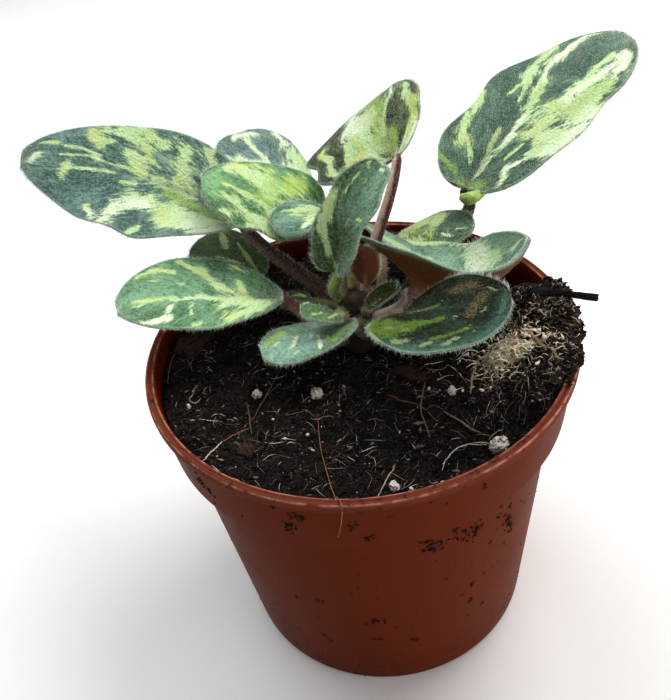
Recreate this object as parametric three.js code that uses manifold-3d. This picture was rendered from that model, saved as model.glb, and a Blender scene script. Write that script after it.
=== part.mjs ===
// A variegated African violet without flowers, growing in peat soil in a small plastic nursery pot.
// Millimetres, +Z up. The origin is the centre of the pot's flat base, and the leaves' widest reach is along X.
import * as THREE from 'three';
import { mergeVertices } from 'three/addons/utils/BufferGeometryUtils.js';
import Module from 'manifold-3d';

const wasm = await Module();
wasm.setup();

// The pot
const potHeight = 77;
const lipRadius = 45;
const bandTopRadius = 44.2;
const bandBottomRadius = 43;
const bandBottom = 62.5;
const wallTopRadius = 40.5;
const baseRadius = 35;
const wall = 1.1;
const floorThickness = 1.4;
const potSides = 60;
const drainHoles = 6;
const drainHoleRadius = 2.5;
const drainHoleCircle = 27;

// Every two pieces that touch keep this gap
const gap = 0.3;

// The soil
const soilLevel = 70.4;
const soilSectors = 48;
const soilRings = 10;
const clodCount = 56;
const heapFrom = -36;
const heapTo = 12;
const heapRise = 7.4;
const leftRise = 2.6;
const heapLumps = 15;
const heapReach = 43.6;

// The crown, a short stem that the leaf stalks grow from
const crownX = 1;
const crownY = 8.5;
const crownBottom = 61;
const crownTop = 81.5;
const crownRadius = 4.8;
const stalkRootRadius = 3.4;

// The leaves. Edge and middle thickness of a blade, and how its grid is divided.
const edgeThickness = 0.62;
const middleThickness = 1.35;
const bladeAcross = [-1, -0.72, -0.4, -0.13, 0, 0.13, 0.4, 0.72, 1];
const smallBladeAcross = [-1, -0.6, -0.15, 0.15, 0.6, 1];
const smallBladeWidth = 9;
const stalkSides = 7;
const stalkSteps = 7;

// base: where the blade starts; heading and pitch: the midrib's direction at the base and at the tip;
// roll: the blade's turn about its midrib there; leftShare: the part of the width left of the midrib;
// taper and round: the outline; fold: how far each half is raised; baseFold: the extra fold at the base;
// lobe: how far the base runs back past the stalk; wave: the left and right edges' waves and their place.
// The stalk leaves the crown at an azimuth and a height, at an angle of rise, and meets the blade along end.
const leaves = {
  leaf_left_long: {
    base: [-21.2, 27.5, 91.6], length: 55.1, width: 28.7,
    heading: [141, 177], pitch: [18, 13], roll: [12, 34],
    leftShare: 0.53, taper: 0.77, round: 1.8, fold: [-0.14, 0.01], cup: 0.12, baseFold: 0.47, lobe: 0,
    wave: [0.05, -0.01, 0.39],
    stalk: { azimuth: 114, height: 70.1, rise: 36, end: [122, 33], radius: 1.7 },
  },
  leaf_left_pale: {
    base: [-3.2, 27, 90.9], length: 27.8, width: 20.6,
    heading: [174, 185], pitch: [30, 21], roll: [16, 6],
    leftShare: 0.49, taper: 0.89, round: 2.36, fold: [-0.3, -0.01], cup: 0.05, baseFold: 0.2, lobe: 0,
    wave: [0.07, 0.01, 0.43],
    stalk: { azimuth: 102, height: 76.8, rise: 27, end: [149, 40], radius: 1.4 },
  },
  leaf_back_left: {
    base: [-7.7, 39.1, 88.4], length: 23.6, width: 21.7,
    heading: [136, 122], pitch: [41, 20], roll: [-3, -4],
    leftShare: 0.57, taper: 1.07, round: 2.2, fold: [0.08, -0.03], cup: 0.19, baseFold: 0.06, lobe: 0.02,
    wave: [0, 0.02, 0.34],
    stalk: { azimuth: 76, height: 73.2, rise: 34, end: [124, 37], radius: 1.4 },
  },
  leaf_back_tall: {
    base: [13.1, 18.4, 106.5], length: 25.2, width: 29.9,
    heading: [102, 63], pitch: [13, 9], roll: [15, 24],
    leftShare: 0.7, taper: 1.19, round: 1.99, fold: [-0.25, 0.15], cup: 0.07, baseFold: -0.07, lobe: 0,
    wave: [-0.09, 0.12, 0.21],
    stalk: { azimuth: 45, height: 78.2, rise: 86, end: [68, 52], radius: 1.25 },
  },
  leaf_centre: {
    base: [-2.5, 5.1, 90], length: 24.1, width: 14.3,
    heading: [46, 35], pitch: [72, 22], roll: [3, -20],
    leftShare: 0.44, taper: 0.77, round: 2.31, fold: [0.6, 0.36], cup: 0.37, baseFold: 0.07, lobe: 0,
    wave: [0.05, 0.11, 0.39],
    stalk: { azimuth: 144, height: 78.9, rise: 36, end: [0, 84], radius: 1.3 },
  },
  leaf_centre_small: {
    base: [-2.9, 21.2, 94.8], length: 11.8, width: 11.3,
    heading: [190, 194], pitch: [5, -7], roll: [0, 10],
    leftShare: 0.53, taper: 1.05, round: 2.06, fold: [-0.07, 0.08], cup: 0.19, baseFold: 0.11, lobe: 0.02,
    wave: [-0.02, 0, 0.3],
    stalk: { azimuth: 94, height: 80.2, rise: 36, end: [171, 30], radius: 0.9 },
  },
  leaf_right: {
    base: [11.9, 3.2, 84.4], length: 28.9, width: 31,
    heading: [-16, 16], pitch: [-23, 61], roll: [17, -18],
    leftShare: 0.62, taper: 0.6, round: 1.7, fold: [-0.47, 0.67], cup: 0.52, baseFold: 0.91, lobe: 0.67,
    wave: [-0.06, -0.04, 0.57],
    stalk: { azimuth: -33, height: 75.6, rise: 26, end: [-19, 86], radius: 1.4 },
  },
  leaf_right_small: {
    base: [14.3, 32.9, 78.9], length: 19.4, width: 14,
    heading: [-36, -30], pitch: [22, 9], roll: [2, -9],
    leftShare: 0.51, taper: 1.09, round: 1.86, fold: [-0.01, -0.12], cup: 0.14, baseFold: -0.06, lobe: 0,
    wave: [0.02, 0, 0.17],
    stalk: { azimuth: 33, height: 74.9, rise: 32, end: [-5, 27], radius: 1.1 },
  },
  leaf_right_high: {
    base: [29.8, 31.7, 88.7], length: 57, width: 30.4,
    heading: [42, 20], pitch: [33, 9], roll: [-9, -8],
    leftShare: 0.49, taper: 0.9, round: 2.25, fold: [-0.29, -0.07], cup: 0.06, baseFold: 0.27, lobe: 0,
    wave: [0.11, 0.04, -0.15],
    stalk: { azimuth: 25, height: 71.3, rise: 24, end: [-136, 42], radius: 1.6 },
  },
  leaf_front_right: {
    base: [9.1, -5.7, 85.5], length: 23.8, width: 23.1,
    heading: [-53, -6], pitch: [27, 17], roll: [8, -15],
    leftShare: 0.37, taper: 0.71, round: 1.83, fold: [0.07, -0.02], cup: 0.19, baseFold: 0.1, lobe: 0.04,
    wave: [0, -0.02, 0.37],
    stalk: { azimuth: -46, height: 71.1, rise: 31, end: [-54, 36], radius: 1.5 },
  },
  leaf_young_left: {
    base: [-2.7, -1, 82.9], length: 8.8, width: 6.9,
    heading: [178, 173], pitch: [26, 17], roll: [-13, 1],
    leftShare: 0.52, taper: 1.02, round: 2.12, fold: [0.01, -0.17], cup: 0.13, baseFold: 0.02, lobe: 0.05,
    wave: [-0.02, 0, 0.36],
    stalk: { azimuth: -152, height: 78.7, rise: 22, end: [204, 13], radius: 0.8 },
  },
  leaf_young_right: {
    base: [2.6, 2.3, 81.8], length: 8.6, width: 5.6,
    heading: [3, 3], pitch: [38, 22], roll: [1, -1],
    leftShare: 0.49, taper: 0.92, round: 2.11, fold: [0.07, 0.07], cup: 0.23, baseFold: 0, lobe: 0.01,
    wave: [-0.01, 0, 0.26],
    stalk: { azimuth: -69, height: 78.9, rise: 25, end: [-60, 50], radius: 0.8 },
  },
  leaf_young_back: {
    base: [3.4, 7.5, 84.4], length: 10.4, width: 6.8,
    heading: [-100, -100], pitch: [80, 86], roll: [0, 0],
    leftShare: 0.5, taper: 1, round: 2, fold: [0.2, 0.2], cup: 0.25, baseFold: 0, lobe: 0,
    wave: [0, 0, 0],
    stalk: { azimuth: -20, height: 80.1, rise: 60, end: [-110, 75], radius: 0.8 },
  },
  leaf_front_low: {
    base: [0.3, 0.2, 80.8], length: 20.9, width: 16.3,
    heading: [193, 189], pitch: [-3, -4], roll: [-19, 4],
    leftShare: 0.48, taper: 1.11, round: 2.15, fold: [-0.01, -0.23], cup: 0.11, baseFold: -0.07, lobe: 0,
    wave: [0.01, -0.01, 0.35],
    stalk: { azimuth: -90, height: 73.9, rise: 24, end: [-120, 50], radius: 1.2 },
  },
  leaf_left_low: {
    base: [-14.2, 11.5, 81.1], length: 35.6, width: 22.8,
    heading: [182, 193], pitch: [14, 8], roll: [11, 3],
    leftShare: 0.5, taper: 1.29, round: 1.84, fold: [0.05, 0.13], cup: 0.24, baseFold: -0.01, lobe: 0,
    wave: [0.03, 0.01, 0.1],
    stalk: { azimuth: 219, height: 72.4, rise: 5, end: [168, 42], radius: 1.6 },
  },
  leaf_left_under: {
    base: [-19.6, 25.4, 77.5], length: 18.4, width: 16.2,
    heading: [137, 128], pitch: [29, 10], roll: [0, 1],
    leftShare: 0.61, taper: 1.01, round: 2.24, fold: [-0.02, -0.01], cup: 0.16, baseFold: 0.08, lobe: 0.01,
    wave: [0.02, -0.01, 0.23],
    stalk: { azimuth: 167, height: 71.6, rise: 32, end: [135, 31], radius: 1.2 },
  },
  leaf_left_tiny: {
    base: [-8.5, 15.6, 76.8], length: 7.5, width: 5.9,
    heading: [193, 194], pitch: [13, 1], roll: [2, 4],
    leftShare: 0.52, taper: 0.97, round: 2.02, fold: [-0.06, 0.03], cup: 0.18, baseFold: 0.04, lobe: 0,
    wave: [0.03, 0, 0.15],
    stalk: { azimuth: 137, height: 74.9, rise: 39, end: [154, 14], radius: 0.8 },
  },
};

// Loose things in the soil: centre, half sizes, turn about the vertical, tilt and seed
const perlite = [
  { at: [22, -31, 71.3], half: [1.9, 1.5, 1.5], turn: 20, seed: 11 },
  { at: [-10.3, -9.4, 71], half: [1.35, 1.3, 1.2], turn: 50, seed: 12 },
  { at: [-22.6, -6.8, 70.8], half: [1.05, 0.95, 1], turn: 10, seed: 13 },
  { at: [16.7, -15, 71.3], half: [1, 0.85, 0.9], turn: 70, seed: 14 },
  { at: [1.7, -37.3, 71.6], half: [0.8, 1.2, 0.9], turn: 15, seed: 15 },
];
const bark = [
  { at: [-36, 10.6, 73], half: [4.4, 2.8, 0.8], turn: 52, tilt: 6, seed: 21 },
  { at: [-25, -22.8, 71.4], half: [2.6, 1.6, 0.7], turn: -60, tilt: -8, seed: 22 },
  { at: [9.8, -8.2, 70.8], half: [4, 1.3, 0.7], turn: -35, tilt: 5, seed: 23 },
];
const splinter = { from: [38, 4, 78.3], to: [49.4, -3, 79.9], rootWidth: 3.2, tipWidth: 1.3, thickness: 1.3 };
const fibrePatch = { at: [30, -8.7, 73.7], half: [5.6, 4.4, 1.1], turn: -16, tilt: -31 };

const radians = THREE.MathUtils.degToRad;

// A repeatable draw of numbers from 0 to 1
function draws(seed) {
  let state = seed;
  return () => {
    state = (state + 0x6d2b79f5) | 0;
    let t = Math.imul(state ^ (state >>> 15), 1 | state);
    t = (t + Math.imul(t ^ (t >>> 7), 61 | t)) ^ t;
    return ((t ^ (t >>> 14)) >>> 0) / 4294967296;
  };
}

function solid(geometry) {
  const bare = geometry.clone();
  bare.deleteAttribute('normal');
  bare.deleteAttribute('uv');
  const merged = mergeVertices(bare, 1e-4);
  return new wasm.Manifold(new wasm.Mesh({
    numProp: 3,
    vertProperties: Float32Array.from(merged.attributes.position.array),
    triVerts: Uint32Array.from(merged.index.array),
  }));
}

function geometryOf(body) {
  const mesh = body.getMesh();
  const geometry = new THREE.BufferGeometry();
  geometry.setAttribute('position', new THREE.BufferAttribute(mesh.vertProperties, 3));
  geometry.setIndex(new THREE.BufferAttribute(mesh.triVerts, 1));
  geometry.computeVertexNormals();
  return geometry;
}

// A closed body through rings of points, each ring with the same count, both ends capped
function loft(rings) {
  const count = rings[0].length;
  const points = rings.flat();
  const faces = [];
  for (let i = 0; i + 1 < rings.length; i += 1) {
    for (let j = 0; j < count; j += 1) {
      const a = i * count + j;
      const b = i * count + (j + 1) % count;
      faces.push(a, b, b + count, a, b + count, a + count);
    }
  }
  const last = (rings.length - 1) * count;
  for (const [start, flip] of [[0, true], [last, false]]) {
    const centre = new THREE.Vector3();
    for (let j = 0; j < count; j += 1) {
      centre.addScaledVector(points[start + j], 1 / count);
    }
    const middle = points.push(centre) - 1;
    for (let j = 0; j < count; j += 1) {
      const a = start + j;
      const b = start + (j + 1) % count;
      faces.push(...(flip ? [middle, b, a] : [middle, a, b]));
    }
  }
  const geometry = new THREE.BufferGeometry();
  geometry.setAttribute('position', new THREE.Float32BufferAttribute(points.flatMap((p) => [p.x, p.y, p.z]), 3));
  geometry.setIndex(faces);
  return geometry;
}

function direction(heading, pitch) {
  const flat = Math.cos(radians(pitch));
  return new THREE.Vector3(
    Math.cos(radians(heading)) * flat,
    Math.sin(radians(heading)) * flat,
    Math.sin(radians(pitch)),
  );
}

function mix(pair, s) {
  return pair[0] + (pair[1] - pair[0]) * s;
}

// The midrib's point and the blade's own axes at s, from 0 at the base to 1 at the tip
function midrib(leaf, stations) {
  const rows = [];
  const point = new THREE.Vector3(...leaf.base);
  let before = null;
  for (const s of stations) {
    const along = direction(mix(leaf.heading, s), mix(leaf.pitch, s));
    if (before) {
      const step = (s - before.s) * leaf.length / 2;
      point.addScaledVector(before.along, step).addScaledVector(along, step);
    }
    const level = new THREE.Vector3().crossVectors(along, new THREE.Vector3(0, 0, 1)).normalize();
    const above = new THREE.Vector3().crossVectors(level, along);
    const roll = radians(mix(leaf.roll, s));
    const side = level.clone().multiplyScalar(Math.cos(roll)).addScaledVector(above, Math.sin(roll));
    const up = above.multiplyScalar(Math.cos(roll)).addScaledVector(level, -Math.sin(roll));
    before = { s, point: point.clone(), along, side, up };
    rows.push(before);
  }
  return rows;
}

// The middle of the blade's thickness at row and across, from -1 at the left edge to 1 at the right edge
function bladePoint(leaf, row, across) {
  const { s, point, along, side, up } = row;
  const right = across >= 0;
  const reach = Math.abs(across);
  const outline = Math.max(0, 1 - Math.abs(2 * s ** leaf.taper - 1) ** leaf.round) ** (1 / leaf.round);
  const ripple = Math.sin(2 * Math.PI * (2.5 * s + leaf.wave[2]) + (right ? 2 : 0)) * Math.sin(Math.PI * s);
  const share = (right ? 1 - leaf.leftShare : leaf.leftShare) * (1 + leaf.wave[right ? 1 : 0] * ripple);
  const half = leaf.width * outline * share;
  const fold = leaf.fold[right ? 1 : 0] + leaf.baseFold * (1 - s) ** 2;
  const turned = fold + leaf.cup * reach;
  const out = (Math.sin(turned) - Math.sin(fold)) / leaf.cup * (right ? 1 : -1);
  const rise = (Math.cos(fold) - Math.cos(turned)) / leaf.cup;
  const back = leaf.lobe * leaf.width * reach ** 2 * (1 - s) ** 3 * (1 - Math.exp(-30 * s));
  const normal = up.clone().multiplyScalar(Math.cos(turned));
  if (reach > 0) {
    normal.addScaledVector(side, -Math.sin(turned) * Math.sign(across));
  }
  const place = point.clone().addScaledVector(side, half * out).addScaledVector(up, half * rise);
  return { place: place.addScaledVector(along, -back), normal };
}

function bladeThickness(leaf, s, across) {
  const size = Math.min(1, leaf.width / 20);
  const middle = edgeThickness + (middleThickness - edgeThickness) * size * Math.sqrt(Math.sin(Math.PI * s));
  return edgeThickness + (middle - edgeThickness) * (1 - across * across);
}

function blade(leaf) {
  const rowCount = Math.round(6 + leaf.length / 7);
  const columns = leaf.width < smallBladeWidth ? smallBladeAcross : bladeAcross;
  const stations = [];
  for (let i = 0; i <= rowCount; i += 1) {
    stations.push(0.004 + 0.992 * (1 - Math.cos(Math.PI * i / rowCount)) / 2);
  }
  const rings = midrib(leaf, stations).map((row) => {
    const upper = [];
    const lower = [];
    for (const across of columns) {
      const { place, normal } = bladePoint(leaf, row, across);
      const thickness = bladeThickness(leaf, row.s, across);
      const closeness = Math.max(0, 1 - Math.abs(across) / 0.26);
      const rib = leaf.stalk.radius * 1.1 * closeness * (1 - row.s) ** 1.5;
      upper.push(place.clone().addScaledVector(normal, thickness / 2));
      lower.push(place.clone().addScaledVector(normal, -thickness / 2 - rib));
    }
    return [...upper, ...lower.reverse()];
  });
  return loft(rings);
}

function stalkCurve(leaf) {
  const { azimuth, height, rise, end } = leaf.stalk;
  const outward = direction(azimuth, 0);
  const root = new THREE.Vector3(crownX, crownY, height).addScaledVector(outward, stalkRootRadius);
  const base = new THREE.Vector3(...leaf.base);
  const span = root.distanceTo(base);
  const nearRoot = root.clone().addScaledVector(direction(azimuth, rise), span * 0.38);
  const nearBlade = base.clone().addScaledVector(direction(...end), -span * 0.36);
  return new THREE.CubicBezierCurve3(root, nearRoot, nearBlade, base);
}

function stalk(leaf, extra, sides) {
  const curve = stalkCurve(leaf);
  const frames = [];
  let across = null;
  for (let i = 0; i <= stalkSteps; i += 1) {
    const t = i / stalkSteps;
    const along = curve.getTangent(t);
    const seed = across ?? new THREE.Vector3(0, 0, 1);
    across = seed.clone().addScaledVector(along, -seed.dot(along)).normalize();
    frames.push({ point: curve.getPoint(t), along, across, radius: leaf.stalk.radius * (1.12 - 0.27 * t) });
  }
  const first = frames[0];
  if (extra > 0) {
    frames.unshift({ ...first, point: first.point.clone().addScaledVector(first.along, -extra) });
  } else {
    const end = frames[frames.length - 1];
    const inward = midrib(leaf, [0, 0.12])[1];
    const point = inward.point.clone().addScaledVector(inward.up, -0.4 * end.radius);
    frames.push({ ...end, point, along: inward.along, radius: end.radius * 0.6 });
  }
  const rings = frames.map(({ point, along, across: start, radius }) => {
    const other = new THREE.Vector3().crossVectors(along, start).normalize();
    const ring = [];
    for (let j = 0; j < sides; j += 1) {
      const angle = 2 * Math.PI * j / sides;
      const offset = start.clone().multiplyScalar(Math.cos(angle)).addScaledVector(other, Math.sin(angle));
      ring.push(point.clone().addScaledVector(offset, radius + extra));
    }
    return ring;
  });
  return loft(rings);
}

function turned(points, sides) {
  return new THREE.LatheGeometry(points.map(([x, y]) => new THREE.Vector2(x, y)), sides).rotateX(Math.PI / 2);
}

// The pot's wall as a closed outline, grown by a margin on its inner and upper sides
function potOutline(margin) {
  const m = margin;
  return [
    [0, -m],
    [baseRadius - 0.8 + m, -m],
    [baseRadius + m, 0.8],
    [wallTopRadius + m, bandBottom - 1 - m],
    [bandBottomRadius + m, bandBottom - m],
    [bandTopRadius + m, potHeight - 2.6],
    [lipRadius + m, potHeight - 1.9],
    [lipRadius + m, potHeight - 0.7 + m / 2],
    [lipRadius - 0.6 + m / 2, potHeight + m],
    [lipRadius - 1.5 - m / 2, potHeight + m],
    [lipRadius - 2.1 - m, potHeight - 0.7 + m / 2],
    [bandTopRadius - wall - 0.5 - m, potHeight - 3],
    [bandBottomRadius - wall - m, bandBottom + wall + m],
    [wallTopRadius - wall - m, bandBottom + wall - 1.2 + m / 2],
    [baseRadius - wall - m, floorThickness + m],
    [0, floorThickness + m],
  ];
}

function potBody() {
  let body = solid(turned(potOutline(0), potSides));
  for (let i = 0; i < drainHoles; i += 1) {
    const hole = new THREE.CylinderGeometry(drainHoleRadius, drainHoleRadius, 6, 20).rotateX(Math.PI / 2);
    const angle = 2 * Math.PI * (i + 0.5) / drainHoles;
    hole.translate(drainHoleCircle * Math.cos(angle), drainHoleCircle * Math.sin(angle), 0);
    body = body.subtract(solid(hole));
  }
  return body;
}

function smoothStep(low, high, value) {
  const t = Math.min(1, Math.max(0, (value - low) / (high - low)));
  return t * t * (3 - 2 * t);
}

// How strongly a point at an azimuth in degrees belongs to the heap at the right
function heapShare(azimuth) {
  return smoothStep(heapFrom - 16, heapFrom + 4, azimuth) * (1 - smoothStep(heapTo - 4, heapTo + 14, azimuth));
}

function soilHeight(x, y) {
  const radius = Math.hypot(x, y);
  const azimuth = THREE.MathUtils.radToDeg(Math.atan2(y, x));
  const heap = heapShare(azimuth) * smoothStep(24, 40, radius) * heapRise;
  const left = (0.5 - 0.5 * Math.cos(radians(azimuth + 4))) ** 2 * smoothStep(22, 41, radius) * leftRise;
  const hollow = Math.exp(-(((x - crownX) / 9) ** 2) - ((y - crownY) / 9) ** 2) * 2.6;
  const swell = 0.7 * Math.sin(0.21 * x + 1.3) * Math.cos(0.17 * y - 0.4) + 0.35 * Math.sin(0.53 * x - 0.47 * y);
  return soilLevel + heap + left - hollow + swell;
}

function soilBlock() {
  const draw = draws(5);
  const wallRadius = wallTopRadius + 1;
  const rings = [];
  const ringAt = (radius, height) => {
    const ring = [];
    for (let j = 0; j < soilSectors; j += 1) {
      const angle = 2 * Math.PI * j / soilSectors;
      const x = radius * Math.cos(angle);
      const y = radius * Math.sin(angle);
      ring.push(new THREE.Vector3(x, y, height ?? soilHeight(x, y) + (draw() - 0.5) * 1.1));
    }
    return ring;
  };
  rings.push(ringAt(baseRadius, 0.5));
  rings.push(ringAt(wallRadius + 1, bandBottom));
  for (let i = soilRings; i >= 1; i -= 1) {
    rings.push(ringAt((wallRadius + 2.2) * i / soilRings));
  }
  return solid(loft(rings));
}

// A rough lump with flat faces
function lump({ at, half, turn = 0, tilt = 0, seed }, extra = 0, detail = 0) {
  const draw = draws(seed);
  const shape = mergeVertices(new THREE.IcosahedronGeometry(1, detail).deleteAttribute('normal').deleteAttribute('uv'));
  const place = shape.attributes.position;
  for (let i = 0; i < place.count; i += 1) {
    const scale = 0.76 + 0.44 * draw();
    const point = new THREE.Vector3().fromBufferAttribute(place, i).multiplyScalar(scale);
    const length = point.length();
    point.multiply(new THREE.Vector3(...half)).multiplyScalar(1 + 1.3 * extra / (Math.min(...half) * length));
    place.setXYZ(i, point.x, point.y, point.z);
  }
  return solid(shape.rotateY(radians(tilt)).rotateZ(radians(turn)).translate(...at));
}

// A flat chip with broken corners
function chip({ at, half, turn, tilt = 0, seed }, extra = 0) {
  const draw = draws(seed);
  const corners = 9;
  const lower = [];
  const upper = [];
  for (let j = 0; j < corners; j += 1) {
    const angle = 2 * Math.PI * j / corners;
    const reach = 0.78 + 0.3 * draw();
    const x = Math.sign(Math.cos(angle)) * Math.abs(Math.cos(angle)) ** 0.6 * half[0] * reach;
    const y = Math.sign(Math.sin(angle)) * Math.abs(Math.sin(angle)) ** 0.6 * half[1] * reach;
    const out = new THREE.Vector2(x, y).setLength(1.6 * extra);
    const z = half[2] * (0.8 + 0.4 * draw());
    lower.push(new THREE.Vector3(x + out.x, y + out.y, -half[2] - extra));
    upper.push(new THREE.Vector3(x * 0.93 + out.x, y * 0.93 + out.y, z + extra));
  }
  return solid(loft([lower, upper]).rotateY(radians(tilt)).rotateZ(radians(turn)).translate(...at));
}

function splinterBody(extra) {
  const from = new THREE.Vector3(...splinter.from);
  const to = new THREE.Vector3(...splinter.to);
  const along = to.clone().sub(from).normalize();
  const across = new THREE.Vector3(0, 0, 1).cross(along).normalize();
  const up = new THREE.Vector3().crossVectors(along, across);
  const draw = draws(31);
  const rings = [];
  const steps = 6;
  for (let i = 0; i <= steps; i += 1) {
    const t = i / steps;
    const width = (splinter.rootWidth + (splinter.tipWidth - splinter.rootWidth) * t) * (0.9 + 0.2 * draw()) / 2 + extra;
    const thick = splinter.thickness * (1 - 0.25 * t) / 2 + extra;
    const end = i === 0 ? -extra : i === steps ? extra : 0;
    const centre = from.clone().lerp(to, t).addScaledVector(along, end).addScaledVector(up, (draw() - 0.5) * 0.25);
    const ring = [];
    for (const [a, b] of [[1, 0.4], [0.35, 1], [-0.6, 0.9], [-1, -0.3], [-0.2, -1], [0.8, -0.8]]) {
      ring.push(centre.clone().addScaledVector(across, a * width).addScaledVector(up, b * thick));
    }
    rings.push(ring);
  }
  return solid(loft(rings));
}

function crownOutline(margin) {
  const m = margin;
  return [
    [0, crownBottom - m],
    [crownRadius - 1.6 + m, crownBottom - m],
    [crownRadius - 0.4 + m, crownBottom + 5],
    [crownRadius + m, crownBottom + 10],
    [crownRadius - 0.4 + m, crownTop - 5],
    [crownRadius - 1.6 + m, crownTop - 2],
    [crownRadius - 3 + m, crownTop - 0.5 + m],
    [0, crownTop + m],
  ];
}

function crownBody(margin) {
  return solid(turned(crownOutline(margin), 20).translate(crownX, crownY, 0));
}

const bodies = {};
bodies.pot = potBody();

bodies.crown = crownBody(0);
for (const [name, leaf] of Object.entries(leaves)) {
  bodies[name] = solid(blade(leaf)).add(solid(stalk(leaf, 0, stalkSides)));
  bodies.crown = bodies.crown.subtract(solid(stalk(leaf, gap, stalkSides)));
}

perlite.forEach((grain, i) => {
  bodies[`perlite_${i + 1}`] = lump(grain);
});
bark.forEach((piece, i) => {
  bodies[`bark_chip_${i + 1}`] = chip(piece);
});
bodies.bark_splinter = splinterBody(0);
bodies.fibre_patch = lump({ ...fibrePatch, seed: 41 }, 0, 1);

// The soil with its clods, and the heap that lies over the lip at the right
let soil = soilBlock();
const place = draws(7);
for (let i = 0; i < heapLumps; i += 1) {
  const angle = radians(heapFrom + 3 + (heapTo - heapFrom - 6) * (i + 0.6 * place()) / heapLumps);
  const radius = heapReach + 1.4 * (place() - 0.5);
  const half = [2.1 + 0.9 * place(), 2.4 + 0.8 * place(), 1.2 + 0.7 * place()];
  const at = [radius * Math.cos(angle), radius * Math.sin(angle), potHeight + 0.5 + 0.6 * place()];
  soil = soil.add(lump({ at, half, turn: 360 * place(), tilt: 30 * place() - 15, seed: 60 + i }));
}
for (let i = 0; i < clodCount; i += 1) {
  const onHeap = i % 4 === 0;
  const radius = onHeap ? 36 + 9 * place() : 40.5 * Math.sqrt(place());
  const angle = radians(onHeap ? heapFrom + 4 + (heapTo - heapFrom - 6) * place() : 360 * place());
  const size = 0.8 + 1.3 * place();
  const x = radius * Math.cos(angle);
  const y = radius * Math.sin(angle);
  const z = radius > 41 ? potHeight + 1.2 + 0.6 * place() : soilHeight(x, y) + 0.1 * size;
  const nearCrown = Math.hypot(x - crownX, y - crownY) < 9;
  const half = [size * (1 + 0.5 * place()), size * (0.8 + 0.3 * place()), size * (0.6 + 0.3 * place())];
  const clod = lump({ at: [x, y, z], half, turn: 360 * place(), tilt: 20 * place(), seed: 100 + i });
  if (!nearCrown) {
    soil = soil.add(clod);
  }
}
soil = soil.subtract(solid(turned(potOutline(gap), potSides)));
soil = soil.subtract(crownBody(gap));
for (const grain of perlite) {
  soil = soil.subtract(lump(grain, gap));
}
for (const piece of bark) {
  soil = soil.subtract(chip(piece, gap));
}
soil = soil.subtract(splinterBody(gap));
soil = soil.subtract(lump({ ...fibrePatch, seed: 41 }, gap, 1));
bodies.soil = soil.decompose().sort((a, b) => b.volume() - a.volume())[0];

const looks = {
  pot: ['#8a4230', 0.42],
  soil: ['#2a211c', 0.95],
  crown: ['#7d7048', 0.7],
  perlite: ['#d8d3c8', 0.9],
  bark: ['#3a271e', 0.9],
  fibre: ['#b39f84', 0.95],
  green: ['#5f7f62', 0.6],
  pale: ['#a9bd6c', 0.6],
  dark: ['#46603f', 0.6],
  blue: ['#6f938a', 0.6],
  red: ['#8f5a4a', 0.6],
};
const lookOf = {
  leaf_left_long: 'green',
  leaf_left_pale: 'pale',
  leaf_back_left: 'blue',
  leaf_back_tall: 'pale',
  leaf_centre: 'dark',
  leaf_centre_small: 'blue',
  leaf_right: 'blue',
  leaf_right_small: 'pale',
  leaf_right_high: 'green',
  leaf_front_right: 'dark',
  leaf_young_left: 'green',
  leaf_young_right: 'dark',
  leaf_young_back: 'red',
  leaf_front_low: 'blue',
  leaf_left_low: 'green',
  leaf_left_under: 'green',
  leaf_left_tiny: 'dark',
  fibre_patch: 'fibre',
};

const group = new THREE.Group();
for (const [name, body] of Object.entries(bodies)) {
  const [color, roughness] = looks[lookOf[name] ?? name.split('_')[0]];
  const material = new THREE.MeshStandardMaterial({ color, roughness, metalness: 0 });
  const mesh = new THREE.Mesh(geometryOf(body), material);
  mesh.name = name;
  group.add(mesh);
}

export default group;
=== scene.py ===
"""Dresses a variegated African violet in its pot: leaves, hairs, crown, soil, loose bits, pot and stage."""

import math

import bmesh
import bpy
import numpy as np
from mathutils import noise, Matrix, Vector
from mathutils.bvhtree import BVHTree


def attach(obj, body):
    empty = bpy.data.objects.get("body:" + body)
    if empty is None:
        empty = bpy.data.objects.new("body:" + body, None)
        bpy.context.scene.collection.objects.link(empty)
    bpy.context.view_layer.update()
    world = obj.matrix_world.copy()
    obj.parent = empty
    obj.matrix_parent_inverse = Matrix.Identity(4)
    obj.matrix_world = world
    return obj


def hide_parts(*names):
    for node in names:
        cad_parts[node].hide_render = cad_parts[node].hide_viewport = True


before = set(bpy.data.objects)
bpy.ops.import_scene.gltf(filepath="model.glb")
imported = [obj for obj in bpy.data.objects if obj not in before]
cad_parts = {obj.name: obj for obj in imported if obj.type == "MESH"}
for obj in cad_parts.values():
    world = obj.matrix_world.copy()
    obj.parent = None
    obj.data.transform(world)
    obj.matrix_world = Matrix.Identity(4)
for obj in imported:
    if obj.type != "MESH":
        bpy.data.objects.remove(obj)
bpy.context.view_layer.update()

bl_info = {
    "name": "African Violet in a Pot",
    "version": (1, 0, 0),
    "blender": (4, 5, 0),
    "location": "View3D > Sidebar > Violet",
    "description": "Dresses the plant, its soil and its pot around the packed frame",
    "category": "Object",
}

MM = 0.001
BODY = "root"

# The crown that the stalks grow from, and the soil around it, in millimetres
CROWN_X = 1.0
CROWN_Y = 8.5
STALK_ROOT_RADIUS = 3.4
SOIL_LEVEL = 70.4
HEAP_FROM = -36.0
HEAP_TO = 12.0
HEAP_RISE = 7.4
LEFT_RISE = 2.6

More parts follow.
